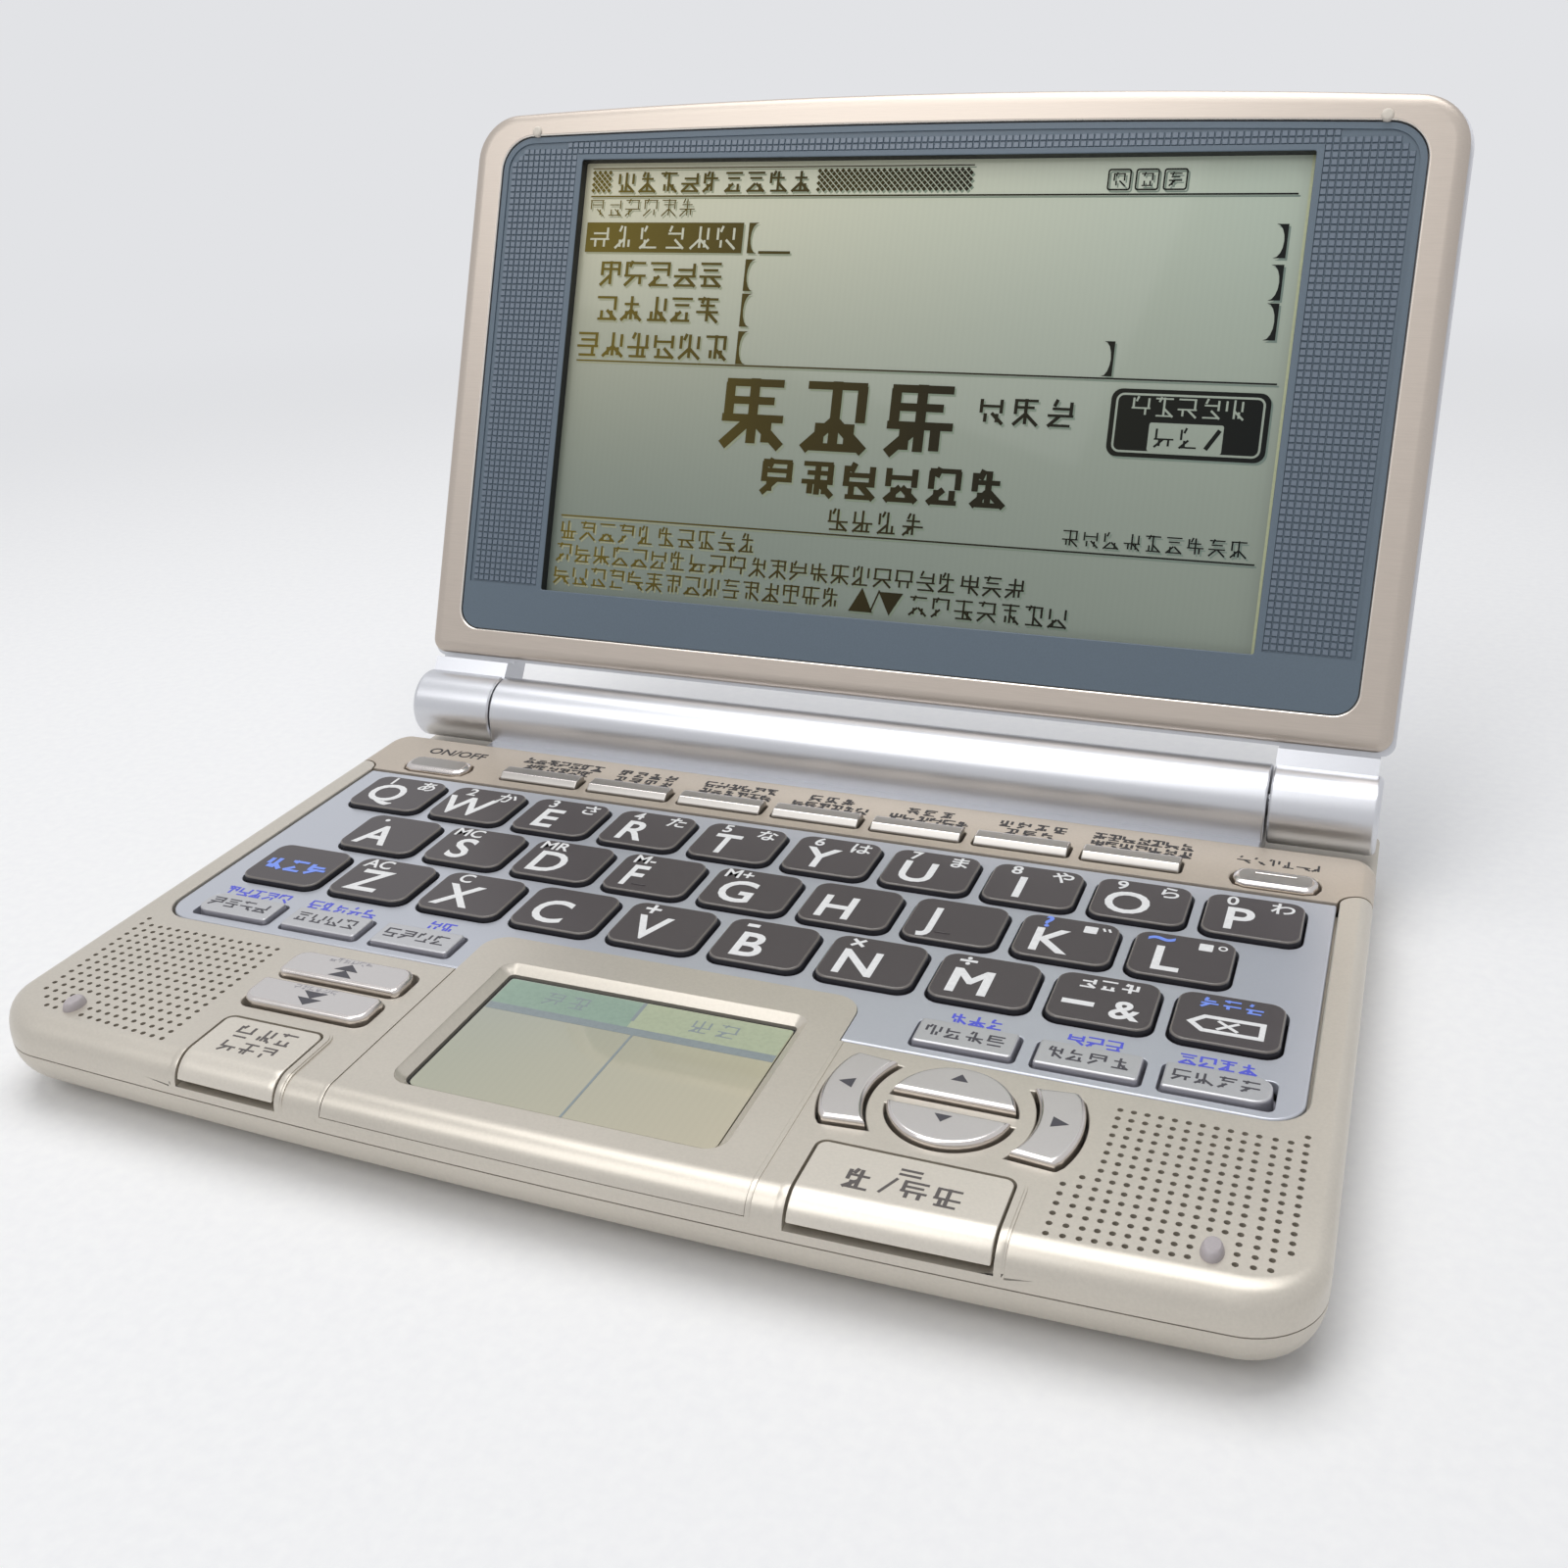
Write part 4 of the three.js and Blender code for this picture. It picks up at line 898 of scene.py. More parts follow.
def deck_levels(bottom, top):
    """Levels of the deck's rolled edge, deeper at the front than at the sides."""
    levels = [level(bottom, 0)]
    for sine, _ in quarter_turn(10):
        drop = FRONT_ROLL * (1 - sine)
        insets = [quarter_inset(radius, drop) for radius in (SIDE_ROUND, REAR_ROUND, FRONT_ROLL)]
        levels.append((top - drop, *insets))
    return levels


def deck_solid(name, lift=0.0, bottom=SKIRT):
    """The whole deck as a solid block, before any opening."""
    return raw_object(stack(BASE, deck_levels(bottom, DECK_TOP + lift)), name)


def add_bead(deck, outline, depth, lift):
    """Raises a rim over the deck inside an outline, which also runs down the rolled front."""
    low = LIP - depth
    rim = deck_solid("rim", lift, low)
    carve(rim, prism(outline, low - OVER, KEY_TOP + OVER), "INTERSECT")
    carve(deck, shape_of(rim), "UNION")


# The space under the deck: thickness of its roof, and the roof's insets at the sides and front
ROOF = 1.5
ROOF_SIDE = 3.0
ROOF_FRONT = 4.7


def deck_hollow():
    """The space under the deck."""
    return stack(BASE, [
        level(SKIRT - OVER, WALL),
        level(DECK_TOP - FRONT_ROLL, WALL),
        (DECK_TOP - ROOF, ROOF_SIDE, WALL, ROOF_FRONT),
    ])


def flared(outlines, low, top, flare, shape=None):
    """A cutter through outlines, whose mouths widen in a small round at the top surface."""
    if shape is None:
        shape = bmesh.new()
    levels = [(low, 0)]
    for sine, cosine in quarter_turn(4):
        levels.append((top - flare + flare * sine, -flare * (1 - cosine)))
    levels.append((top + OVER, -flare))
    for outline in outlines:
        add_levels(shape, outline, levels)
    return shape


def slot_by_height(made, slots):
    """Gives each face the slot of the last (height, slot) step that its centre is above."""
    for face in made.data.polygons:
        for height, index in slots:
            if face.center.z > height:
                face.material_index = index


def soften(made, width, segments=2, angle=40):
    """Rounds the sharp edges of a carved piece."""
    change = made.modifiers.new("soft_edges", "BEVEL")
    change.width = width
    change.segments = segments
    change.limit_method = "ANGLE"
    change.angle_limit = math.radians(angle)
    change.use_clamp_overlap = True
    apply_modifiers(made)


# Outlines of the openings and panels; each grows outward by a distance

# Keyboard plate
PLATE_HALF = 70.3
PLATE_FRONT = -38.4
PLATE_FRONT_CORNER = 4.0
# Writing panel
PANEL_LEFT, PANEL_RIGHT = -25.9, 21.8
PANEL_REAR = -30.3
PANEL_CORNER = 3.0
# Radius of a corner that looks square, and how far the front pieces reach past the front edge
SHARP = 0.3
PAST_FRONT = 2.5
# Rear strip: where it starts between the rails, its corner there, and its shoulders' setback
RAIL_X = 70.6
RAIL_CORNER = 2.4
SHOULDER = 2.8
# Return and enter keys: middle and width of each, then the rear edge and corner of both
FRONT_KEYS = {"key_return": (-38.7, 12.8), "key_enter": (36.0, 19.6)}
FRONT_KEY_REAR = -56.1
FRONT_KEY_CORNER = 1.0


def plate_outline(grow):
    front = PLATE_FRONT_CORNER + grow
    rear = max(SHARP + grow / 2, SHARP / 2)
    return rounded_box(-PLATE_HALF - grow, PLATE_HALF + grow, PLATE_FRONT - grow,
                       PLATE_REAR + grow, (front, front, rear, rear))


def panel_outline(grow):
    front = SHARP + grow / 2
    rear = PANEL_CORNER + grow
    return rounded_box(PANEL_LEFT - grow, PANEL_RIGHT + grow, FRONT - PAST_FRONT,
                       PANEL_REAR + grow, (front, front, rear, rear))


def strip_outline(grow):
    centre = (RAIL_X + RAIL_CORNER, PLATE_REAR + SHOULDER - GAP - RAIL_CORNER)
    radius = RAIL_CORNER + GAP - grow
    front = PLATE_REAR + GAP - grow
    start = math.degrees(math.asin(min((front - centre[1]) / radius, 1)))
    right = arc(centre, radius, 180 - start, 90, 10)
    left = [(-x, y) for x, y in reversed(right)]
    shoulder = PLATE_REAR + SHOULDER - grow
    rear = BODY_REAR + OVER
    outer = HALF + OVER
    return left + right + [(outer, shoulder), (outer, rear), (-outer, rear), (-outer, shoulder)]


def front_key_outline(name, grow):
    middle, width = FRONT_KEYS[name]
    reach = width / 2 + grow
    corner = FRONT_KEY_CORNER + grow
    return rounded_box(middle - reach, middle + reach, FRONT - PAST_FRONT,
                       FRONT_KEY_REAR + grow, (SHARP, SHARP, corner, corner))


# Arrow pad: its middle, the half discs' radius and flat side, and the crescents' half length,
# outer radius, inner radius, nearest edge, corner, and the round of their tips
ARROW_X, ARROW_Y = 36.9, -47.1
DISC_RADIUS = 6.5
DISC_FLAT = 1.1
CRESCENT_HALF = 5.9
CRESCENT_OUTER = 13.4
CRESCENT_INNER = 11.0
CRESCENT_NEAR = 8.8
CRESCENT_CORNER = 0.8
TIP_ACROSS, TIP_ALONG = 0.25, 0.08


def on_pad(points, turn):
    return [(ARROW_X + turn * x, ARROW_Y + turn * y) for x, y in points]


def disc_outline(grow, turn):
    radius = DISC_RADIUS + grow
    start = math.degrees(math.asin((DISC_FLAT - grow) / radius))
    return on_pad(arc((0, 0), radius, start, 180 - start, 40), turn)


def crescent_outline(grow, turn):
    half = CRESCENT_HALF + grow
    outer = CRESCENT_OUTER + grow
    inner = CRESCENT_INNER - grow
    outer_angle = math.degrees(math.asin((half - CRESCENT_CORNER) / outer))
    inner_angle = math.degrees(math.asin((half - CRESCENT_CORNER / 2) / inner))
    outside = arc((0, 0), outer, -outer_angle, outer_angle, 20)
    inside = arc((CRESCENT_NEAR - CRESCENT_INNER, 0), inner, inner_angle, -inner_angle, 20)
    tip = outside[-1][0] - CRESCENT_CORNER
    rear_tip = [(tip + TIP_ACROSS, half - TIP_ALONG), (tip, half)]
    front_tip = [(x, -y) for x, y in reversed(rear_tip)]
    return on_pad(outside + rear_tip + inside + front_tip, turn)


ARROW_KEYS = {
    "key_up": (disc_outline, 1),
    "key_down": (disc_outline, -1),
    "key_right": (crescent_outline, 1),
    "key_left": (crescent_outline, -1),
}

# Key places

# Letter keys: first and last column, rows, cap, corner and gap in the plate
FIRST_X, LAST_X = -60.69, 61.09
PITCH = (LAST_X - FIRST_X) / 9
ROW_PITCH = 11.95
REAR_ROW_Y = 1.19
CAP_WIDTH, CAP_DEPTH = 11.99, 10.28
CAP_CORNER = 2.0
LETTER_GAP = 0.15
ROWS = (
    (0.0, ["q", "w", "e", "r", "t", "y", "u", "i", "o", "p"]),
    (0.5, ["a", "s", "d", "f", "g", "h", "j", "k", "l"]),
    (0.0, ["shift", "z", "x", "c", "v", "b", "n", "m", "symbol", "delete"]),
)
# Small grey keys: three on each side of the writing panel
SOFT_PITCH = 13.25
SOFT_PLACES = {
    "left": [-60.88 + SOFT_PITCH * step for step in range(3)],
    "right": [34.96 + SOFT_PITCH * step for step in range(3)],
}
SOFT_Y = -34.4
SOFT_WIDTH, SOFT_DEPTH = 11.35, 5.0
SOFT_CORNER = 0.6
SOFT_END_CORNER = 2.0
SOFT_GAP = 0.2
# Function bars, with the on/off key and the light key at their ends
BAR_X = [-43.1 + 14.58 * step for step in range(7)]
BAR_Y = 12.7
BAR_WIDTH, BAR_DEPTH = 12.7, 3.2
PILL_X = (-60.8, 62.6)
PILL_HALF = 5.3
PILL_FRONT, PILL_REAR = 10.0, 14.5
PILL_CORNER = 1.7
# Page keys: middle and corners of each, then their size
PAGE_KEYS = {
    "key_page_up": ((-37.5, -44.2), (0.8, 0.8, 1.9, 1.9)),
    "key_page_down": ((-37.9, -50.7), (1.9, 1.9, 0.8, 0.8)),
}
PAGE_WIDTH, PAGE_DEPTH = 16.6, 5.0


def letter_places():
    places = {}
    for row, (indent, names) in enumerate(ROWS):
        for column, name in enumerate(names):
            places[name] = (FIRST_X + (column + indent) * PITCH, REAR_ROW_Y - row * ROW_PITCH)
    return places


def pill_outline(x, grow):
    """The on/off key and the light key: a long shape with wide chamfered corners."""
    return rounded_box(x - PILL_HALF - grow, x + PILL_HALF + grow, PILL_FRONT - grow,
                       PILL_REAR + grow, PILL_CORNER + grow, 2)


def grown_box(centre, width, depth, corners, grow):
    """A rounded rectangle about its middle, grown outward."""
    across = width / 2 + grow
    along = depth / 2 + grow
    return rounded_box(centre[0] - across, centre[0] + across, centre[1] - along,
                       centre[1] + along, corners, 6)


def key_window(centre, width, depth, corner, gap=GAP):
    return grown_box(centre, width, depth, corner + gap, gap)


def add_cap(shape, centre, width, depth, corners, top, flange, edge, draft=0.2):
    """Adds a key cap: a flange under the plate, leaning sides and a rounded top edge."""
    def ring(grow, z):
        radii = [max(radius + grow, 0.12) for radius in corners]
        return at_height(grown_box(centre, width, depth, radii, grow), z)
    rings = [ring(flange, FLANGE_LOW), ring(flange, FLANGE_TOP), ring(0, FLANGE_TOP)]
    for sine, cosine in quarter_turn(5):
        rings.append(ring(-draft - edge * (1 - cosine), top - edge + edge * sine))
    add_loft(shape, rings)


def add_web(shape, left, right, y, half):
    """Adds the bar under the deck that joins a row of keys."""
    inside = 0.02
    add_box(shape, (left, y - half, FLANGE_LOW + inside), (right, y + half, FLANGE_TOP - inside))


# Operators

# Material slots of a key, in the order in which its finishes are listed
TOP, SIDE, INK, SECOND_INK, RIM = range(5)


class DictionaryPiece:
    """What every operator of the panel shares."""

    bl_options = {"REGISTER", "UNDO"}


class DICTIONARY_OT_finishes(DictionaryPiece, bpy.types.Operator):
    """Makes every finish from the chosen colours"""

    bl_idname = "dictionary.finishes"
    bl_label = "Finishes"

    def execute(self, context):
        make_materials(context.scene.dictionary_colours)
        return {"FINISHED"}


# The plate's ledge reaches past the plate's edge, and its opening stays inside that edge
LEDGE_OUT = 0.75
LEDGE_IN = 0.45
# Beads round the front keys and the writing panel: reach past the gap, depth under the lip, height
KEY_BEADS = ((0.95, 1.45, 0.16), (0.7, 1.3, 0.26))
PANEL_BEAD = (0.5, 0.9, 0.1)
# How far the openings of the front keys go down past the lip
LIP_DEPTH = 0.9
# Bottom of the cutters for the key openings, and the rounds of their mouths
OPENING_LOW = 8.0
PAGE_OPENING_LOW = 7.5
WIDE_FLARE = 0.2
SMALL_FLARE = 0.15
# Edge left by the paint's run round the deck's openings
DECK_EDGE = 0.13
# Rubber bumpers: place, half width and half depth, foot and height, and the share of the flat top
BUMPER_X, BUMPER_Y = 64.3, -59.8
BUMPER_HALF = (1.1, 1.6)
BUMPER_FOOT = DECK_TOP - 0.4
BUMPER_HEIGHT = 1.35
BUMPER_TOP_SHARE = 0.55


class DICTIONARY_OT_deck(DictionaryPiece, bpy.types.Operator):
    """Builds the deck with its rolled front, openings, grilles and bumpers"""

    bl_idname = "dictionary.deck"
    bl_label = "Deck"

    def execute(self, context):
        deck = deck_solid("deck")
        carve(deck, deck_hollow())
        carve(deck, prism(plate_outline(LEDGE_OUT), LEDGE_LOW, LEDGE_TOP), "UNION")
        carve(deck, prism(strip_outline(GAP), SKIRT - OVER, KEY_TOP + OVER))
        for name in FRONT_KEYS:
            for reach, depth, height in KEY_BEADS:
                add_bead(deck, front_key_outline(name, GAP + reach), depth, height)
        reach, depth, height = PANEL_BEAD
        add_bead(deck, panel_outline(GAP + reach), depth, height)
        carve(deck, flared([plate_outline(GAP)], PLATE_LOW - GAP, DECK_TOP, WIDE_FLARE))
        carve(deck, prism(panel_outline(GAP), LIP - GAP, DECK_TOP + OVER))
        carve(deck, prism(plate_outline(-LEDGE_IN), LEDGE_LOW - OVER, DECK_TOP))
        carve(deck, self.key_openings())
        shape = bmesh.new()
        for name in FRONT_KEYS:
            add_prism(shape, front_key_outline(name, GAP), LIP - LIP_DEPTH, DECK_TOP + OVER)
        carve(deck, shape)
        soften(deck, DECK_EDGE, 3, 32)
        carve(deck, grille_holes(context.scene.dictionary_sizes.grille_hole / MM))
        finish_piece(deck, "base", ["deck"], ["upper_case"])
        self.bumpers()
        return {"FINISHED"}

    def key_openings(self):
        """A cutter for the openings of the page keys and the arrow keys."""
        windows = []
        for centre, _ in PAGE_KEYS.values():
            windows.append(key_window(centre, PAGE_WIDTH, PAGE_DEPTH, 1.2))
        shape = flared(windows, PAGE_OPENING_LOW, DECK_TOP, WIDE_FLARE)
        for turn in (1, -1):
            outlines = [disc_outline(GAP, turn), crescent_outline(GAP, turn)]
            flared(outlines, OPENING_LOW, DECK_TOP, SMALL_FLARE, shape)
        return shape

    def bumpers(self):
        """Two oval domes near the front corners."""
        shape = bmesh.new()
        steps = 6
        for side in (-1, 1):
            rings = []
            for step, (sine, cosine) in enumerate(quarter_turn(steps)):
                share = BUMPER_TOP_SHARE + (1 - BUMPER_TOP_SHARE) * cosine if step < steps else 0.5
                radii = [half * share for half in BUMPER_HALF]
                outline = ellipse_arc(side * BUMPER_X, BUMPER_Y, radii, 0, 360, 24)[:-1]
                rings.append(at_height(outline, BUMPER_FOOT + BUMPER_HEIGHT * sine))
            add_loft(shape, rings)
        finish_piece(raw_object(shape, "deck_bumpers"), "base", ["rubber"])


# Columns of speaker holes: x, first row and last row
GRILLE_COLUMNS = (
    [(49.93, 9, 14), (51.46, 8, 14)]
    + [(52.92 + 1.348 * step, 0, 14) for step in range(11)]
    + [(67.94, 0, 14), (69.38, 0, 14), (70.84, -1, 12)]
    + [(-70.5, -1, 12), (-69.0, 0, 13)]
    + [(-67.6 + 1.37 * step, 0, 14) for step in range(12)]
    + [(-51.16, 0, 14), (-49.7, 0, 14)]
)
GRILLE_ROWS = 14
GRILLE_REAR, GRILLE_FRONT = -41.65, -62.1
GRILLE_LOW = 7.6
# The front row steps back by this much from the first x to the second
GRILLE_BOW = 1.5
BOW_FROM, BOW_TO = 50, 69
# No hole lies this near the middle of a bumper
BUMPER_CLEAR_X, BUMPER_CLEAR_Y = 1.9, 2.3


def grille_holes(width):
    """A cutter for every speaker hole; the front row follows the bow of the front edge."""
    shape = bmesh.new()
    for x, first, last in GRILLE_COLUMNS:
        bow = GRILLE_BOW * max(0, abs(x) - BOW_FROM) / (BOW_TO - BOW_FROM)
        depth = GRILLE_FRONT + bow - GRILLE_REAR
        for row in range(first, last + 1):
            y = GRILLE_REAR + depth * row / GRILLE_ROWS
            beside = abs(abs(x) - BUMPER_X) < BUMPER_CLEAR_X
            if beside and abs(y - BUMPER_Y) < BUMPER_CLEAR_Y:
                continue
            add_prism(shape, circle(x, y, width / 2, 10), GRILLE_LOW, DECK_TOP + OVER)
    return shape


# How many made-up characters stand behind each function bar, in two rows, and those rows
BAR_WORDS = ((7, 6), (4, 4), (6, 6), (3, 6), (3, 6), (4, 3), (7, 7))
BAR_WORD_ROWS = (18.6, 16.35)
# Few characters stand wider apart than many
FEW_PITCH, MANY_PITCH = 1.28, 0.98
MANY = 6


class DICTIONARY_OT_strip(DictionaryPiece, bpy.types.Operator):
    """Builds the browner strip behind the letter keys, with its key openings"""

    bl_idname = "dictionary.strip"
    bl_label = "Rear strip"

    def execute(self, context):
        strip = deck_solid("rear_strip_skin")
        carve(strip, deck_hollow())
        carve(strip, prism(strip_outline(0), SKIRT - OVER, KEY_TOP), "INTERSECT")
        bars = [key_window((x, BAR_Y), BAR_WIDTH, BAR_DEPTH, 0.5) for x in BAR_X]
        shape = flared(bars, OPENING_LOW, DECK_TOP, SMALL_FLARE)
        pills = [pill_outline(x, GAP) for x in PILL_X]
        carve(strip, flared(pills, OPENING_LOW, DECK_TOP, 0.25, shape))
        soften(strip, 0.1)
        finish_piece(strip, "base", ["strip"], ["rear_strip"])
        if context.scene.dictionary_sizes.legends:
            self.legends()
        return {"FINISHED"}

    def legends(self):
        """Stand-in legends behind the keys, as rows of made-up characters."""
        ink = Print(DECK_TOP, random.Random(11))
        for x, counts in zip(BAR_X, BAR_WORDS):
            for y, count in zip(BAR_WORD_ROWS, counts):
                pitch = FEW_PITCH if count < MANY else MANY_PITCH
                left = x + 0.4 - count * 0.95 * pitch
                ink.word(left, y, 1.95, count, 0, pitch, 0.19, 6)
        ink.letters("ON/OFF", (-60.6, 17.5), 1.9, 0, weight=0.04)
        ink.word(57.2, 17.4, 1.9, 6, 0, 0.98, 0.15, 3)
        finish_piece(raw_object(ink.shape, "strip_legends"), "base", ["brown_ink"])


# Made-up characters behind each small key, and how far their middle is right of the key's
BLUE_WORDS = ((5, -0.5), (5, -0.5), (2, 0.9), (3, 0.3), (3, 0.0), (4, -0.4))
BLUE_WORD_Y = -30.35
BLUE_WORD_SIZE = 2.0
BLUE_WORD_PITCH = 1.03


class DICTIONARY_OT_plate(DictionaryPiece, bpy.types.Operator):
    """Builds the cool grey plate that the letter keys stand in"""

    bl_idname = "dictionary.plate"
    bl_label = "Keyboard plate"

    def execute(self, context):
        shape = bmesh.new()
        add_levels(shape, plate_outline(0), [(PLATE_LOW, 0)] + rolled(PLATE_TOP, 0.3, 4))
        plate = raw_object(shape, "keyboard_plate_skin")
        carve(plate, prism(panel_outline(GAP), PLATE_LOW - OVER, PLATE_TOP + OVER))
        windows = []
        for centre in letter_places().values():
            windows.append(key_window(centre, CAP_WIDTH, CAP_DEPTH, 1.9, LETTER_GAP))
        soft_places = SOFT_PLACES["left"] + SOFT_PLACES["right"]
        for x in soft_places:
            windows.append(key_window((x, SOFT_Y), SOFT_WIDTH, SOFT_DEPTH, SOFT_CORNER, SOFT_GAP))
        carve(plate, flared(windows, PLATE_LOW - OVER, PLATE_TOP, 0.12))
        soften(plate, 0.05)
        finish_piece(plate, "base", ["plate"], ["keyboard_plate"])
        if context.scene.dictionary_sizes.legends:
            ink = Print(PLATE_TOP, random.Random(23))
            for x, (count, shift) in zip(soft_places, BLUE_WORDS):
                left = x + shift - count * BLUE_WORD_SIZE * BLUE_WORD_PITCH / 2
                ink.word(left, BLUE_WORD_Y, BLUE_WORD_SIZE, count, 0, BLUE_WORD_PITCH, 0.15, 5)
            legends = raw_object(ink.shape, "plate_legends")
            finish_piece(legends, "base", ["blue_ink"])
        return {"FINISHED"}


# Legends of the letter keys: digit or mark at the top left, syllable at the top right
KEY_MARKS = {
    "q": ("1", "あ"), "w": ("2", "か"), "e": ("3", "さ"), "r": ("4", "た"), "t": ("5", "な"),
    "y": ("6", "は"), "u": ("7", "ま"), "i": ("8", "や"), "o": ("9", "ら"), "p": ("0", "わ"),
    "a": (".", ""), "s": ("MC", ""), "d": ("MR", ""), "f": ("M-", ""), "g": ("M+", ""),
    "h": ("", ""), "j": ("", ""), "k": ("?", ""), "l": ("~", ""), "z": ("AC", ""), "x": ("C", ""),
    "c": ("", ""), "v": ("+", ""), "b": ("-", ""), "n": ("×", ""), "m": ("÷", ""),
}
# Places of the letter, the mark and the syllable on a key, and the usual width of a letter
LETTER_ACROSS, LETTER_UP = -1.5, -0.95
LETTER_WIDTH = 0.94
MARK_AT = (-2.8, 3.45)
SYLLABLE_AT = (3.2, 3.05)
SYLLABLE_HEIGHT = 2.15
# Place across the key and width of the letters that differ from the rest
LETTER_SHAPES = {"f": (-2.4, 0.76), "j": (-3.1, 0.85), "t": (-1.7, 0.82), "r": (-1.45, 0.88)}
# The m's inner corner is too sharp to thicken, so it is printed at three places side by side
M_PLACES = (-1.68, -1.5, -1.32)
M_WIDTH = 0.9
# Height and boldness of the digits, and of the marks that differ from them
DIGIT_SIZE = (2.05, 0.05)
MARK_SIZES = {
    ".": (3.2, 0.08), "-": (4.2, 0.05), "+": (2.9, 0.06), "×": (2.7, 0.06), "÷": (2.9, 0.06),
    "~": (3.8, 0.08), "?": (2.5, 0.08),
}
# Outline of the delete key's arrow-shaped frame, about the key's middle
DELETE_FRAME = ((-4.3, -1.3), (-2.6, -3.0), (4.0, -3.0), (4.0, 0.4), (-2.6, 0.4))


class DICTIONARY_OT_letter_keys(DictionaryPiece, bpy.types.Operator):
    """Builds the 29 charcoal keys with their legends"""

    bl_idname = "dictionary.letter_keys"
    bl_label = "Letter keys"

    def execute(self, context):
        sizes = context.scene.dictionary_sizes
        edge = sizes.key_edge / MM
        draw = random.Random(5)
        for name, centre in letter_places().items():
            shape = bmesh.new()
            corners = [CAP_CORNER] * 4
            add_cap(shape, centre, CAP_WIDTH, CAP_DEPTH, corners, KEY_TOP, 0.55, edge)
            if name in "fj":
                x, y = centre
                rib = rounded_box(x - 1.9, x + 0.1, y - 3.25, y - 2.95, 0.14, 3)
                add_levels(shape, rib, [
                    (KEY_TOP - 0.05, 0), (KEY_TOP + 0.08, 0), (KEY_TOP + 0.13, 0.06)])
            key = raw_object(shape, "cap_" + name)
            # Sides take the darker side finish, painted shade, and the rounded edge the paler rim
            # finish, a painted highlight.
            slot_by_height(key, [(0, SIDE), (KEY_TOP - edge, RIM), (KEY_TOP - 0.002, TOP)])
            if sizes.legends:
                ink = Print(KEY_TOP, draw)
                self.legend(ink, name, centre, sizes.letter_height / MM)
                ink.join(key)
            finishes = ["key", "key_side", "white_ink", "pale_blue_ink", "key_rim"]
            finish_piece(key, "key_%s_body" % name, finishes, ["key_" + name])
        return {"FINISHED"}

    def legend(self, ink, name, centre, height):
        """Prints one key's marks."""
        x, y = centre
        if name in KEY_MARKS:
            self.letter(ink, name, centre, height)
            mark, syllable = KEY_MARKS[name]
            if mark:
                slot = SECOND_INK if mark in "?~" else INK
                tall, bold = MARK_SIZES.get(mark, DIGIT_SIZE)
                ink.letters(mark, (x + MARK_AT[0], y + MARK_AT[1]), tall, slot, bold)
            if syllable:
                place = (x + SYLLABLE_AT[0], y + SYLLABLE_AT[1])
                ink.letters(syllable, place, SYLLABLE_HEIGHT, INK, 0.05)
            if name in "kl":
                ink.block(rounded_box(x + 1.6, x + 3.2, y + 2.1, y + 3.7, 0.15, 3), INK)
            if name == "k":
                for place in (x + 3.8, x + 4.45):
                    ink.bar((place, y + 3.7), (place + 0.3, y + 3.0), 0.28, INK)
            if name == "l":
                ink.ring(circle(x + 4.3, y + 3.2, 0.55, 16), 0.22, INK)
        elif name == "shift":
            ink.word(x - 4.6, y - 0.5, 3.0, 3, SECOND_INK, 1.1, 0.22, 4)
        elif name == "symbol":
            ink.bar((x - 4.4, y - 1.4), (x - 0.8, y - 1.4), 0.9, INK)
            ink.letters("&", (x + 2.7, y - 1.6), 3.6, INK, 0.1)
            ink.word(x - 3.4, y + 3.0, 2.1, 3, INK, 1.15, 0.18, 4)
        elif name == "delete":
            ink.word(x - 3.4, y + 3.0, 2.1, 3, SECOND_INK, 1.15, 0.18, 4)
            ink.ring([(x + across, y + up) for across, up in DELETE_FRAME], 0.62, INK)
            ink.bar((x - 1.0, y - 2.15), (x + 1.2, y - 0.45), 0.4, INK)
            ink.bar((x - 1.0, y - 0.45), (x + 1.2, y - 2.15), 0.4, INK, 0.002)

    def letter(self, ink, name, centre, height):
        """Prints the key's letter."""
        x, y = centre
        if name == "m":
            for step, across in enumerate(M_PLACES):
                place = (x + across, y + LETTER_UP)
                ink.letters("M", place, height, INK, 0, M_WIDTH, step * 0.004)
        else:
            across, width = LETTER_SHAPES.get(name, (LETTER_ACROSS, LETTER_WIDTH))
            ink.letters(name.upper(), (x + across, y + LETTER_UP), height, INK, 0.12, width)


class DICTIONARY_OT_small_keys(DictionaryPiece, bpy.types.Operator):
    """Builds the two trios of small grey keys beside the writing panel"""

    bl_idname = "dictionary.small_keys"
    bl_label = "Small grey keys"

    def execute(self, context):
        draw = random.Random(31)
        for side, places in SOFT_PLACES.items():
            shape = bmesh.new()
            add_web(shape, places[0], places[-1], SOFT_Y, 1.2)
            for index, x in enumerate(places):
                corners = [SOFT_CORNER] * 4
                if side == "left" and index == 0:
                    corners[0] = corners[3] = SOFT_END_CORNER
                if side == "right" and index == 2:
                    corners[1] = corners[2] = SOFT_END_CORNER
                add_cap(shape, (x, SOFT_Y), SOFT_WIDTH, SOFT_DEPTH, corners, SOFT_TOP, 0.3, 0.3)
            keys = raw_object(shape, "small_keys_" + side)
            # The sides and the web take the darker side finish: painted shade.
            slot_by_height(keys, [(0, SIDE), (SOFT_TOP - 0.15, TOP)])
            ink = Print(SOFT_TOP, draw)
            for x in places:
                ink.word(x - 4.7, SOFT_Y + 0.1, 2.1, 4, INK, 1.1, 0.13, 5)
            if context.scene.dictionary_sizes.legends:
                ink.join(keys)
            finish_piece(keys, "small_keys_" + side,
                         ["small_key", "small_key_side", "dark_ink"], ["soft_keys_" + side])
        return {"FINISHED"}


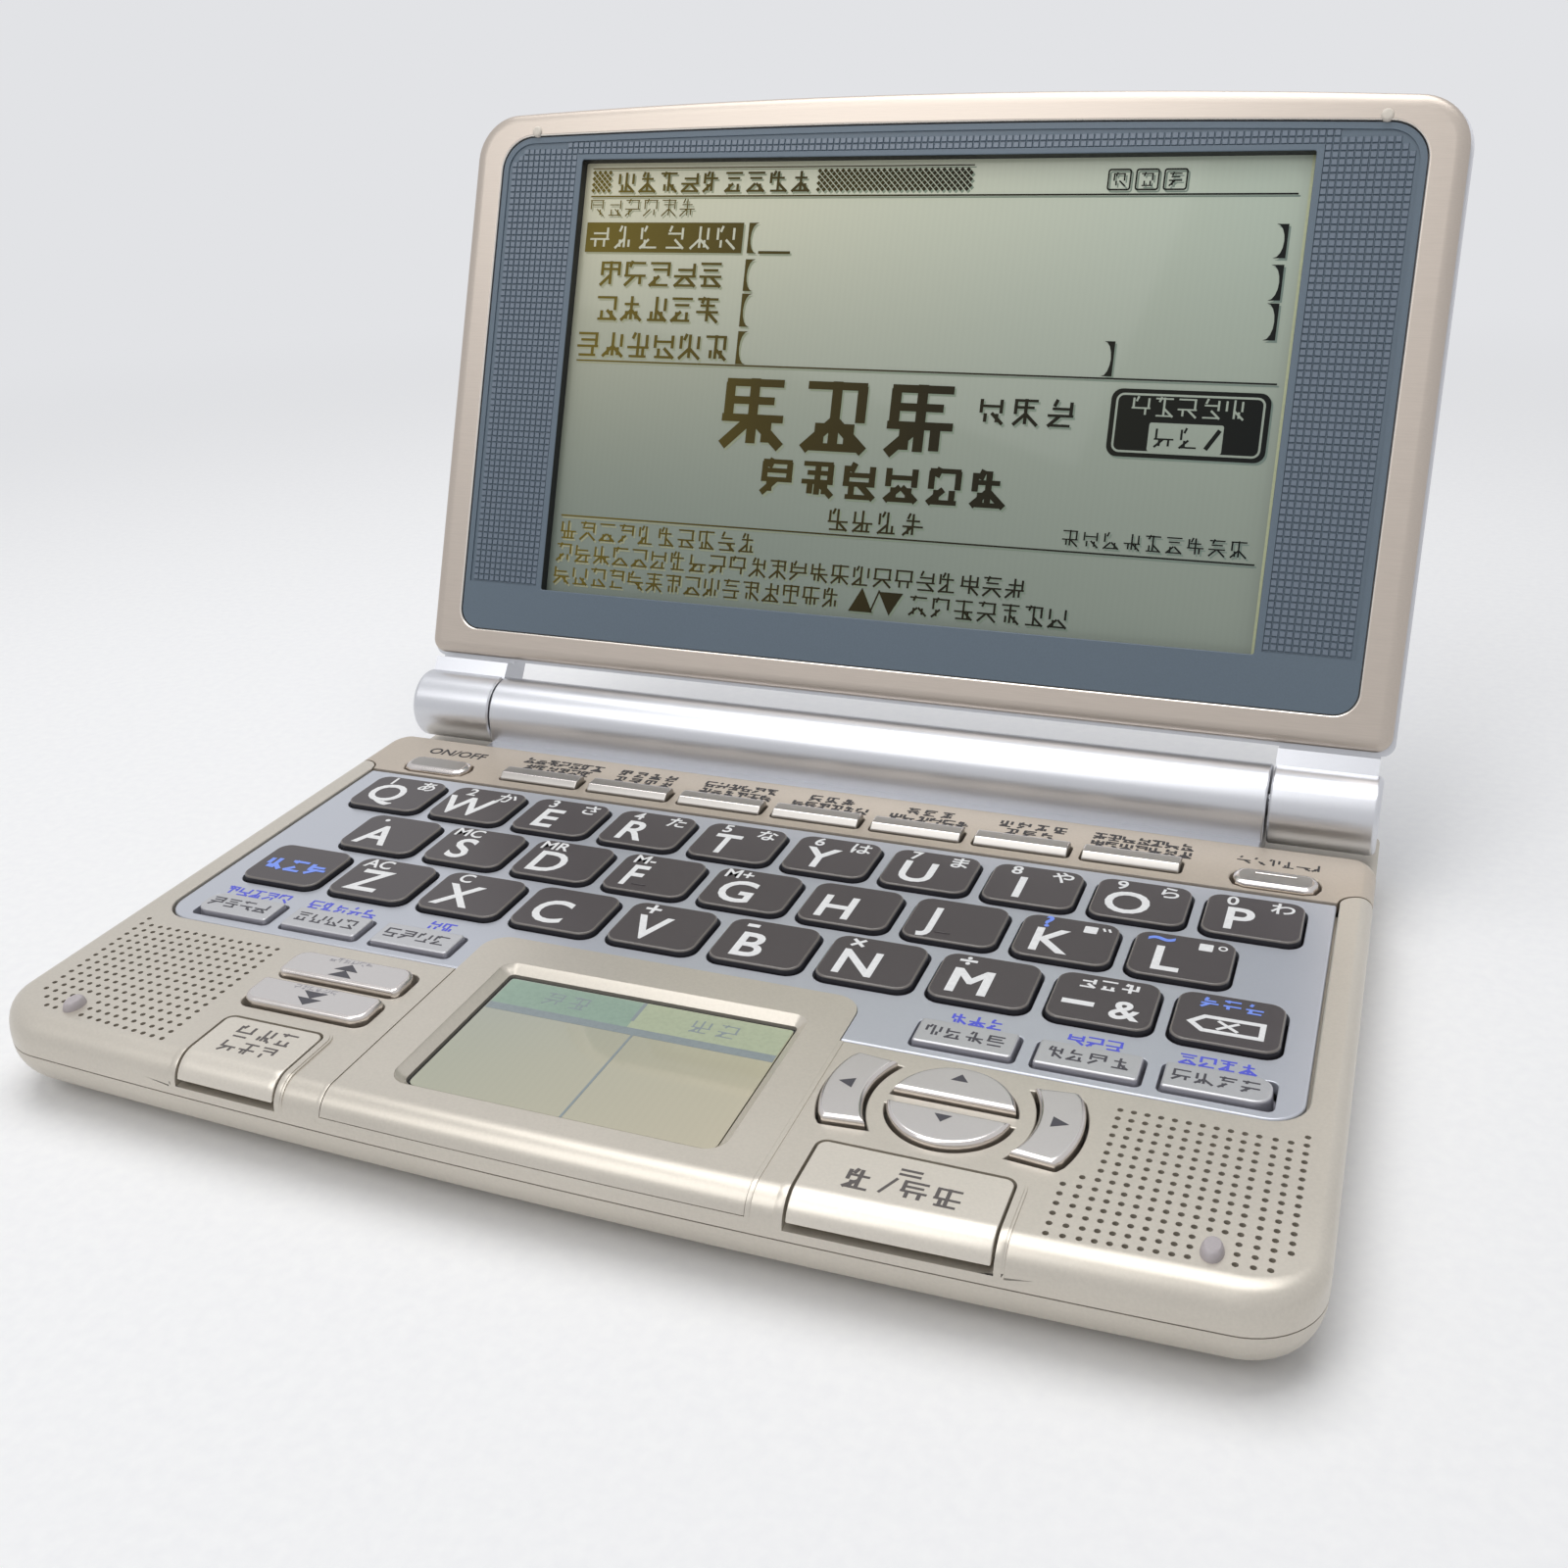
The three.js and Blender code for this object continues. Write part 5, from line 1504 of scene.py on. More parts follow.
# Function bars: their flange, and how far each section steps in near an end
BAR_FLANGE = 0.3
BAR_ENDS = ((0.0, 0.16), (0.08, 0.05), (0.22, 0.0))
# The on/off and light keys: height and growth of each ring of their outline
PILL_RINGS = (
    (FLANGE_LOW, 0.3), (FLANGE_TOP, 0.3), (FLANGE_TOP, 0), (11.2, 0), (11.62, -0.18),
    (11.82, -0.5), (11.9, -0.85),
)
PILL_TOP = 11.9


class DICTIONARY_OT_strip_keys(DictionaryPiece, bpy.types.Operator):
    """Builds the on/off key, the seven function bars and the light key on their web"""

    bl_idname = "dictionary.strip_keys"
    bl_label = "Strip keys"

    def bar(self, shape, x):
        """Adds one function bar with softened ends, and its flange."""
        half = BAR_WIDTH / 2
        across = half + BAR_FLANGE
        along = BAR_DEPTH / 2 + BAR_FLANGE
        add_box(shape, (x - across, BAR_Y - along, FLANGE_LOW),
                (x + across, BAR_Y + along, FLANGE_TOP))
        left = [(x - half + step, bar_profile(inset)) for step, inset in BAR_ENDS]
        right = [(x + half - step, bar_profile(inset)) for step, inset in reversed(BAR_ENDS)]
        add_sections(shape, left + right)

    def execute(self, context):
        shape = bmesh.new()
        add_web(shape, PILL_X[0], PILL_X[1], BAR_Y, 1)
        for x in BAR_X:
            self.bar(shape, x)
        for x in PILL_X:
            add_loft(shape, [at_height(pill_outline(x, grow), z) for z, grow in PILL_RINGS])
        mark = rounded_box(PILL_X[1] - 2.7, PILL_X[1] + 2.7, 12.75, 13.35, 0.25, 3)
        add_levels(shape, mark, [
            (PILL_TOP - 0.05, 0), (PILL_TOP + 0.08, 0), (PILL_TOP + 0.14, 0.08)])
        keys = raw_object(shape, "strip_keys")
        for face in keys.data.polygons:
            slope = face.normal.z
            on_pill = abs(face.center.x) > 55
            if 0.9 < slope < 0.995 or on_pill and slope < 0.9:
                face.material_index = SIDE
        finish_piece(keys, "top_keys", ["bar_key", "chrome"], ["top_key_strip"])
        return {"FINISHED"}


# A bar's section from its rear upper edge over the ridge to its front: back from the rear edge
# or on from the front edge, and down from the top
BAR_REAR_STEPS = ((0, 0.35), (0.2, 0.08), (0.5, 0))
BAR_FRONT_STEPS = ((1.0, 0), (0.75, 0.06), (0.3, 0.5), (0.12, 0.62), (0, 0.85))


def bar_profile(inset):
    """A function bar's section in y and z: a flat top, a ridge and a steep front."""
    front = BAR_Y - BAR_DEPTH / 2 + inset
    rear = BAR_Y + BAR_DEPTH / 2 - inset
    top = PLATED_TOP - inset
    foot = FLANGE_TOP - 0.1
    points = [(front, foot), (rear, foot)]
    points += [(rear - back, top - down) for back, down in BAR_REAR_STEPS]
    points += [(front + on, top - down) for on, down in BAR_FRONT_STEPS]
    return points


def triangle(ink, apex, base, half, slot):
    """Prints a triangle from its apex to the middle of its base."""
    apex = Vector(apex)
    base = Vector(base)
    along = (base - apex).normalized()
    side = Vector((-along.y, along.x)) * half
    ink.block([tuple(point) for point in (apex, base + side, base - side)], slot)


# Stacked triangles of the page keys: places along the key, apex and base from there, half width
PAGE_MARKS = (-1.25, 0.1)
PAGE_MARK_SHIFT = -0.35
PAGE_MARK_APEX, PAGE_MARK_BASE = 1.25, -0.1
PAGE_MARK_HALF = 1.6


class DICTIONARY_OT_page_keys(DictionaryPiece, bpy.types.Operator):
    """Builds the two page keys with their stacked triangles"""

    bl_idname = "dictionary.page_keys"
    bl_label = "Page keys"

    def execute(self, context):
        draw = random.Random(61)
        for name, (centre, corners) in PAGE_KEYS.items():
            x, y = centre
            shape = bmesh.new()
            add_cap(shape, centre, PAGE_WIDTH, PAGE_DEPTH, corners, PLATED_TOP, 0.6, 0.5, 0.05)
            key = raw_object(shape, name.replace("key_", "cap_"))
            slot_by_height(key, [(0, SIDE), (PLATED_TOP - 0.01, TOP)])
            ink = Print(PLATED_TOP, draw)
            turn = 1 if name == "key_page_up" else -1
            for place in PAGE_MARKS:
                middle = y + place * turn + PAGE_MARK_SHIFT
                apex = (x, middle + PAGE_MARK_APEX * turn)
                triangle(ink, apex, (x, middle + PAGE_MARK_BASE * turn), PAGE_MARK_HALF, INK)
            ink.word(x - 3.4, y + 1.5, 0.9, 6, SECOND_INK, 1.1, 0.07, 4)
            ink.join(key)
            # The small words on the page keys are printed in the grey that paints the small keys'
            # side shade.
            finishes = ["page_key", "chrome", "dark_ink", "small_key_side"]
            finish_piece(key, name + "_body", finishes, [name])
        return {"FINISHED"}


# Triangles of the arrow keys: apex, middle of the base, half width
ARROW_MARKS = {
    "key_up": ((36.7, -42.0), (36.7, -43.2), 0.9),
    "key_down": ((36.7, -50.4), (36.7, -49.2), 0.9),
    "key_left": ((24.9, -46.9), (26.5, -46.9), 0.85),
    "key_right": ((48.8, -46.9), (47.1, -46.9), 0.85),
}


class DICTIONARY_OT_arrow_keys(DictionaryPiece, bpy.types.Operator):
    """Builds the arrow pad: two half discs between two crescents"""

    bl_idname = "dictionary.arrow_keys"
    bl_label = "Arrow keys"

    def execute(self, context):
        levels = [(FLANGE_LOW, 0)] + rolled(PLATED_TOP, 0.5, 6)
        for name, (outline, turn) in ARROW_KEYS.items():
            shape = bmesh.new()
            add_loft(shape, [at_height(outline(-inset, turn), z) for z, inset in levels])
            key = raw_object(shape, name.replace("key_", "cap_"))
            slot_by_height(key, [(0, SIDE), (PLATED_TOP - 0.01, TOP)])
            ink = Print(PLATED_TOP)
            triangle(ink, *ARROW_MARKS[name], INK)
            ink.join(key)
            finishes = ["page_key", "chrome", "dark_ink"]
            finish_piece(key, name + "_body", finishes, [name])
        return {"FINISHED"}


# The front keys stand this much over the deck
FRONT_KEY_RISE = 0.3
# Made-up words on them: left edge from the key's middle, height up, size, count, pitch, strokes
RETURN_WORDS = ((-3.7, -58.4, 2.4, 3, 1.14, 5), (-3.6, -61.2, 2.2, 3, 1.14, 4))
ENTER_WORDS = ((-5.8, -60.7, 3.1, 1, 1.14, 7), (-0.3, -60.7, 2.9, 2, 1.12, 6))
# Lines on the enter key, about its middle: two level ones and a slanting one between the words
ENTER_LINES = (
    ((-0.9, -58.0), (1.3, -58.0)), ((-0.9, -58.7), (1.3, -58.7)), ((-2.0, -61.9), (-0.8, -59.4)),
)
# The front keys wear the lighter copy of the deck paint: painted light.
FRONT_KEY_FINISHES = ["front_key", "grey_ink"]


class DICTIONARY_OT_front_keys(DictionaryPiece, bpy.types.Operator):
    """Builds the return and enter keys, which roll over the front edge"""

    bl_idname = "dictionary.front_keys"
    bl_label = "Return and enter keys"

    def execute(self, context):
        draw = random.Random(41)
        for name, (middle, _) in FRONT_KEYS.items():
            key = deck_solid(name.replace("key_", "cap_"), FRONT_KEY_RISE)
            carve(key, prism(front_key_outline(name, 0), LIP, KEY_TOP + OVER), "INTERSECT")
            soften(key, 0.25, 3)
            ink = Print(DECK_TOP + FRONT_KEY_RISE, draw)
            entering = name == "key_enter"
            for start, end in ENTER_LINES if entering else ():
                ink.bar((middle + start[0], start[1]), (middle + end[0], end[1]), 0.3, 1)
            for left, up, size, count, pitch, strokes in ENTER_WORDS if entering else RETURN_WORDS:
                ink.word(middle + left, up, size, count, 1, pitch, 0.13, strokes)
            ink.join(key)
            finish_piece(key, name + "_body", FRONT_KEY_FINISHES, [name])
        return {"FINISHED"}


# Writing display: its window in the panel, glass and body (left, right, front, rear), and heights
WRITING_WINDOW = (-20.1, 16.4, -59.7, -36.4)
WRITING_GLASS = (-19.6, 16.15, -59.5, -37.0)
WRITING_BODY = (-22.0, 18.3, -60.4, -34.2)
WRITING_RIM_OUT = (-20.6, 16.9, -60.1, -36.0)
WRITING_RIM_IN = (-19.7, 16.25, -59.55, -36.9)
GLASS_TOP = 10.2
# The panel's gap is a little narrower than the others
PANEL_SHRINK = 0.24
# Sloping frame of the window: depth under the deck and growth of each level
WINDOW_SLOPE = ((3.5, 0), (0.95, 0), (0.5, 0.6), (0.15, 1.05), (0.02, 1.15), (-OVER, 1.15))
# Slots of the tinted fields, and the fields as left, right, front, rear and slot
GREEN, YELLOW, GREY = 1, 2, 3
TOUCH_FIELDS = (
    (-19.5, -2.0, -42.2, -37.1, GREEN),
    (-2.0, 16.05, -42.2, -37.1, YELLOW),
    (-19.5, 16.05, -43.5, -42.2, GREY),
)
TOUCH_WORDS = ((-13.9, -39.6), (4.7, -39.6))
OVER_FIELDS = 0.004


class DICTIONARY_OT_writing_panel(DictionaryPiece, bpy.types.Operator):
    """Builds the panel round the small writing display, and the display"""

    bl_idname = "dictionary.writing_panel"
    bl_label = "Writing panel"

    def execute(self, context):
        panel = deck_solid("writing_panel")
        carve(panel, deck_hollow())
        block = prism(panel_outline(PANEL_SHRINK), LIP - 0.22, DECK_TOP + OVER)
        carve(panel, block, "INTERSECT")
        shape = bmesh.new()
        window = rounded_box(*WRITING_WINDOW, (1.3, 1.3, 0.6, 0.6), 6)
        add_levels(shape, window, [(DECK_TOP - depth, -grow) for depth, grow in WINDOW_SLOPE])
        carve(panel, shape)
        soften(panel, DECK_EDGE, 3, 32)
        finish_piece(panel, "base", ["deck"], ["writing_bezel"])
        self.display()
        # A near-black ring round the writing display's glass: painted shade in the recess.
        block = prism(rounded_box(*WRITING_RIM_OUT, 0.9, 6), 9.5, 9.9)
        rim = raw_object(block, "writing_display_rim")
        carve(rim, prism(rounded_box(*WRITING_RIM_IN, 0.5, 6), 9.0, 10.5))
        finish_piece(rim, "base", ["bezel_dark"])
        return {"FINISHED"}

    def display(self):
        """The display's body and glass, with the printed fields."""
        shape = prism(rounded_box(*WRITING_BODY, 0.5, 3), 7.5, 9.5)
        glass = rounded_box(*WRITING_GLASS, (1.0, 1.0, 0.5, 0.5), 6)
        add_prism(shape, glass, 9.45, GLASS_TOP)
        display = raw_object(shape, "writing_display_glass")
        ink = Print(GLASS_TOP, random.Random(83), 0.02)
        for left, right, front, rear, slot in TOUCH_FIELDS:
            ink.block(plain_rectangle(left, right, front, rear), slot)
        ink.bar((-2.0, -40.9), (-2.0, -37.1), 0.45, GREY, OVER_FIELDS)
        ink.bar((-1.1, -59.5), (-0.7, -43.5), 0.3, GREY)
        for left, middle in TOUCH_WORDS:
            ink.word(left, middle, 2.6, 2, GREY, 1.25, 0.09, 7, OVER_FIELDS)
        ink.join(display)
        finishes = ["small_lcd", "green_field", "yellow_field", "grey_field"]
        finish_piece(display, "base", finishes, ["writing_display"])


def plain_rectangle(left, right, front, rear):
    """Four corners, counterclockwise."""
    return [(left, front), (right, front), (right, rear), (left, rear)]


# Lower case: how far its underside tucks in at the sides, rear and front
TUCK = (5.5, 1.0, 7.6)
FLOOR_TOP = 1.9
# Its hollow in front of the hinge: height and insets at the sides, rear and front
TRAY_HOLLOW = (
    (FLOOR_TOP, 6.2, WALL, 7.6), (4.45, 2.75, WALL, 3.8), level(PARTING - WALL, WALL),
    level(PARTING + OVER, WALL),
)
CELL_BAY_HALF = 57.5
CELL_BAY_REAR = 37.6
# Feet and screws
FEET_AT = [(x, y) for x in (-60, 60) for y in (-49, AXIS_Y)]
FOOT_LEVELS = ((0, 0.4), (0.12, 0.12), (0.4, 0), (1.0, 0))
FOOT_RADIUS = 3.5
SCREWS_AT = [(x, y) for x in (-60, 60) for y in (-40, 8)]
SCREW_LEVELS = ((0.95, 0.3), (1.05, 0), (1.7, 0))
SCREW_RADIUS = 1.7
SCREW_HOLE = 1.9
SLOT_HALF, SLOT_LENGTH = 0.18, 1.0
# Battery cover: left, right, front, rear and corner of its opening and of the cover
HATCH_OPENING = (-50.3, 50.3, 24.3, 37.3, 1.8)
HATCH = (-50, 50, 24.6, 37, 1.5)
HATCH_LEVELS = ((0.7, 0.15), (0.85, 0), (1.6, 0))
GRIP_Y = [28.0 + 1.4 * step for step in range(5)]


class DICTIONARY_OT_lower_case(DictionaryPiece, bpy.types.Operator):
    """Builds the lower case with its feet, screws and battery cover"""

    bl_idname = "dictionary.lower_case"
    bl_label = "Lower case"

    def execute(self, context):
        case = raw_object(stack({**BASE, "near": BODY_REAR}, tray_levels()), "lower_case_skin")
        carve(case, stack(BASE, TRAY_HOLLOW))
        shape = bmesh.new()
        add_box(shape, (-CELL_BAY_HALF, AXIS_Y - 7, FLOOR_TOP),
                (CELL_BAY_HALF, CELL_BAY_REAR, PARTING + OVER))
        carve(case, shape)
        shape = prism(rounded_box(*HATCH_OPENING), -OVER, 3)
        for x, y in SCREWS_AT:
            add_prism(shape, circle(x, y, SCREW_HOLE, 24), -OVER, 1.3)
        carve(case, shape)
        soften(case, 0.12)
        finish_piece(case, "base", ["shell"], ["lower_case"])
        shape = bmesh.new()
        for x, y in FEET_AT:
            add_levels(shape, circle(x, y, FOOT_RADIUS, 32), FOOT_LEVELS)
        finish_piece(raw_object(shape, "feet"), "base", ["foot"])
        self.screws()
        self.hatch()
        return {"FINISHED"}

    def screws(self):
        """The four case screws with their cross slots."""
        shape = bmesh.new()
        for x, y in SCREWS_AT:
            add_levels(shape, circle(x, y, SCREW_RADIUS, 24), SCREW_LEVELS)
        screws = raw_object(shape, "case_screws")
        for across, along in ((SLOT_LENGTH, SLOT_HALF), (SLOT_HALF, SLOT_LENGTH)):
            shape = bmesh.new()
            for x, y in SCREWS_AT:
                add_box(shape, (x - across, y - along, 0.5), (x + across, y + along, 1.25))
            carve(screws, shape)
        finish_piece(screws, "base", ["pin"])

    def hatch(self):
        """The battery cover with its grip grooves."""
        shape = bmesh.new()
        add_levels(shape, rounded_box(*HATCH), HATCH_LEVELS)
        cover = raw_object(shape, "battery_hatch")
        shape = bmesh.new()
        for y in GRIP_Y:
            add_box(shape, (-6, y - 0.25, 0.4), (6, y + 0.25, 0.95))
        carve(cover, shape)
        soften(cover, 0.08)
        finish_piece(cover, "base", ["shell"], ["battery_cover"])


def tray_levels():
    """Levels of the lower case's tucked-in underside, bottom first."""
    levels = []
    for sine, cosine in reversed(quarter_turn(12)):
        insets = [reach * (1 - cosine) for reach in TUCK]
        levels.append((PARTING - (PARTING - UNDERSIDE) * sine, *insets))
    return levels


# Hinge hood: radius of its round, front and rear, its ledge, its end's edge and its wall
HOOD_RADIUS = 5.4
HOOD_FRONT, HOOD_REAR = 22.3, 38.1
HOOD_LEDGE_DROP = 1.1
HOOD_REAR_DROP = 2.9
HOOD_EDGE = 0.35
HOOD_WALL = 0.9
HOOD_END = 3


def hood_profile(inset, foot):
    """The hinge hood's section in y and z, seen from the right."""
    radius = HOOD_RADIUS - inset
    ledge = DECK_TOP - HOOD_LEDGE_DROP - inset
    front = HOOD_FRONT + inset
    rear = HOOD_REAR - inset
    points = [(front, foot), (rear, foot), (rear, AXIS_Z - HOOD_REAR_DROP)]
    points += arc((AXIS_Y, AXIS_Z), radius, 0, 180, 40)
    points += [(AXIS_Y - radius, ledge), (front, ledge)]
    return points


class DICTIONARY_OT_hinge(DictionaryPiece, bpy.types.Operator):
    """Builds the hood over the cells and the hinge"""

    bl_idname = "dictionary.hinge"
    bl_label = "Hinge hood"

    def execute(self, context):
        sections = []
        for share in (0, 0.35, 0.7, 1.0):
            angle = math.pi / 2 * share
            inset = HOOD_EDGE * (1 - math.sin(angle))
            x = -HOOD_HALF + HOOD_EDGE * (1 - math.cos(angle))
            sections.append((x, hood_profile(inset, SKIRT)))
        sections += [(-x, profile) for x, profile in reversed(sections)]
        shape = bmesh.new()
        add_sections(shape, sections)
        hood = raw_object(shape, "hinge_hood")
        inner = HOOD_HALF - HOOD_END
        carve(hood, rod(hood_profile(HOOD_WALL, SKIRT - OVER), (-inner, inner)))
        bore = circle(AXIS_Y, AXIS_Z, PIN_BORE, 32)
        for side in (-1, 1):
            carve(hood, rod(bore, (side * (inner - OVER), side * (HOOD_HALF + OVER))))
        finish_piece(hood, "base", ["barrel"], ["hinge_barrel"])
        return {"FINISHED"}


# The lid, drawn with the hinge axis on x, the lid rising along y and its face up z

LID_LOW = 7.9
LID_FACE = 0.6
LID_BACK = -5.6
LID_ROUND = 2.1
LID_WALL = 1.3
LID_SHAPE = {"half": 74.9, "near": LID_LOW, "far": 95.4, "near_corner": 1.8, "far_corner": 7.5,
             "bow": 1.7}
# Where the frame and the back cover meet, as depths under the frame's face
FRAME_DEPTH = 2.2
BACK_DEPTH = 2.5
# Frame: its setback from the lid's outline, its elliptical edge and its lower corners
FRAME_INSET = 0.5
FRAME_ROLL, FRAME_DROP = 1.9, 0.95
FRAME_NEAR_CORNER = 2.7
FRAME_FLARE = 0.3
FRAME_SEAT = 1.5
# Faces of the opening's edge lie inside this box
EDGE_HALF = 70.2
EDGE_LOW, EDGE_HIGH = 12.2, 92.6
# Opening for the bezel, and the display's window and the plain field round it
SCREEN = {"half": 69.2, "near": 13.0, "far": 91.0, "near_corner": 3.0, "far_corner": 5.0,
          "bow": 0.9}
SCREEN_TOP = LID_FACE - 0.3
PANEL_TOP = -1.5
WINDOW_X = 55.3
WINDOW_LOW, WINDOW_HIGH = 19.9, 87.6
FIELD_X = 56.29
FIELD_LOW, FIELD_HIGH = 20.35, 88.45
# Pads at the frame's top corners
PAD_X, PAD_Y = 63.7, 92.0
PAD_RADIUS = 0.85


class DICTIONARY_OT_lid_frame(DictionaryPiece, bpy.types.Operator):
    """Builds the brushed frame round the bezel, with its two small pads"""

    bl_idname = "dictionary.lid_frame"
    bl_label = "Lid frame"

    def execute(self, context):
        back = LID_FACE - FRAME_DEPTH
        levels = [level(back, FRAME_INSET)]
        for sine, cosine in quarter_turn(10):
            inset = FRAME_INSET + FRAME_ROLL * (1 - cosine)
            levels.append(level(LID_FACE - FRAME_DROP * (1 - sine), inset))
        outline_shape = {**LID_SHAPE, "near_corner": FRAME_NEAR_CORNER}
        made = raw_object(stack(outline_shape, levels), "lid_frame")
        opening = bowed_outline(SCREEN, -GAP, -GAP, -GAP)
        carve(made, flared([opening], back + 0.6, LID_FACE, FRAME_FLARE))
        seat = bowed_outline(SCREEN, FRAME_SEAT, FRAME_SEAT, FRAME_SEAT)
        carve(made, prism(seat, back - OVER, LID_FACE + OVER))
        # The opening's sloping edge takes the lighter edge finish, a painted highlight.
        for face in made.data.polygons:
            x, y, z = face.center
            by_opening = abs(x) < EDGE_HALF and EDGE_LOW < y < EDGE_HIGH
            if by_opening and face.normal.z < 0.97 and z > LID_FACE - 0.29:
                face.material_index = 1
        finish_piece(made, "lid", ["frame", "frame_edge"], ["lid_front_frame"], LID)
        shape = bmesh.new()
        for side in (-1, 1):
            levels = [(LID_FACE - 0.5, 0)] + rolled(LID_FACE + 0.3, 0.4, 4, 0.35)
            add_levels(shape, circle(side * PAD_X, PAD_Y, PAD_RADIUS, 24), levels)
        finish_piece(raw_object(shape, "lid_pads"), "lid", ["pad"], place=LID)
        return {"FINISHED"}


# Bezel studs: height, half widths up a stud, and the space that they keep to the field's edge
STUD_HEIGHT = 0.2
STUD_RINGS = ((-0.02, 0.43), (0.07, 0.42), (STUD_HEIGHT, 0.34))
STUD_HALF = 0.45
STUD_MARGIN = 0.8
FIELD_MARGIN = 0.75
FIRST_STUD = 0.7
# The dark surround, painted shade in the window's recess, reaches past the window
SURROUND = 1.5


class DICTIONARY_OT_bezel(DictionaryPiece, bpy.types.Operator):
    """Builds the slate bezel with its moulded grid of studs"""

    bl_idname = "dictionary.bezel"
    bl_label = "Display bezel"

    def execute(self, context):
        shape = bmesh.new()
        add_levels(shape, bowed_outline(SCREEN, -0.2, -0.2, -0.2), [
            (SCREEN_TOP - 1, 0), (SCREEN_TOP - 0.15, 0), (SCREEN_TOP - 0.04, 0.04),
            (SCREEN_TOP, 0.15),
        ])
        bezel = raw_object(shape, "display_bezel_skin")
        carve(bezel, self.field())
        window = rounded_box(-WINDOW_X, WINDOW_X, WINDOW_LOW, WINDOW_HIGH, 0.3, 3)
        carve(bezel, flared([window], SCREEN_TOP - 2, SCREEN_TOP, 0.15))
        # The window's inner walls take the near-black finish: painted shade in the recess.
        near = 0.05
        for face in bezel.data.polygons:
            x, y, _ = face.center
            inside = abs(x) < WINDOW_X + near and WINDOW_LOW - near < y < WINDOW_HIGH + near
            if inside and abs(face.normal.z) < 0.5:
                face.material_index = 2
        studs = self.studs(context.scene.dictionary_sizes.bezel_grid / MM)
        studs.from_mesh(bezel.data)
        studs.to_mesh(bezel.data)
        studs.free()
        finishes = ["bezel", "stud", "bezel_dark"]
        finish_piece(bezel, "lid", finishes, ["display_bezel"], LID, 25)
        outer = rounded_box(-WINDOW_X - SURROUND, WINDOW_X + SURROUND, WINDOW_LOW - SURROUND,
                            WINDOW_HIGH + SURROUND, 0.5, 3)
        rim = raw_object(prism(outer, PANEL_TOP, SCREEN_TOP - 1), "display_surround")
        carve(rim, prism(window, PANEL_TOP - OVER, SCREEN_TOP))
        finish_piece(rim, "lid", ["bezel_dark"], place=LID)
        return {"FINISHED"}

    def field(self):
        """A cutter for the sunken field that the studs stand in, beside and above the window."""
        outline = bowed_outline(SCREEN, FIELD_MARGIN, FIELD_MARGIN, FIELD_MARGIN)
        field = raw_object(prism(outline, SCREEN_TOP - STUD_HEIGHT, SCREEN_TOP + OVER), "field")
        far, low = 80, 5
        plain = [(-far, low), (far, low), (far, FIELD_LOW), (FIELD_X, FIELD_LOW),
                 (FIELD_X, FIELD_HIGH), (-FIELD_X, FIELD_HIGH), (-FIELD_X, FIELD_LOW),
                 (-far, FIELD_LOW)]
        carve(field, prism(plain, -OVER, OVER * 2))
        return shape_of(field)

    def studs(self, pitch):
        """Square studs in one grid, wherever a whole stud fits in the sunken field."""
        shape = bmesh.new()
        corner_x = SCREEN["half"] - SCREEN["far_corner"]
        corner = SCREEN["far_corner"] - STUD_MARGIN
        reach = int(SCREEN["half"] / pitch)
        for column in range(-reach, reach):
            x = (column + 0.5) * pitch
            share = min(abs(x) / corner_x, 1)
            past = max(0, abs(x) + STUD_HALF - corner_x)
            if past > corner:
                continue
            edge = SCREEN["far"] + SCREEN["bow"] * (1 - share * share) - STUD_MARGIN
            edge += math.sqrt(corner * corner - past * past) - corner
            y = FIELD_LOW + FIRST_STUD
            while y + STUD_HALF < edge:
                if abs(x) > FIELD_X + STUD_HALF or y > FIELD_HIGH + STUD_HALF:
                    self.stud(shape, x, y)
                y += pitch
        return shape

    def stud(self, shape, x, y):
        """Adds one stud; its flat top takes the lighter stud finish, a painted highlight."""
        low = SCREEN_TOP - STUD_HEIGHT
        rings = []
        for rise, half in STUD_RINGS:
            square = plain_rectangle(x - half, x + half, y - half, y + half)
            rings.append(at_height(square, low + rise))
        layers = add_loft(shape, rings)
        for face in layers[-1][0].link_faces:
            if all(vert in layers[-1] for vert in face.verts):
                face.material_index = 1


# Slots of the main display
CLEAR, DARK, BRIGHT, SHADOW = range(4)


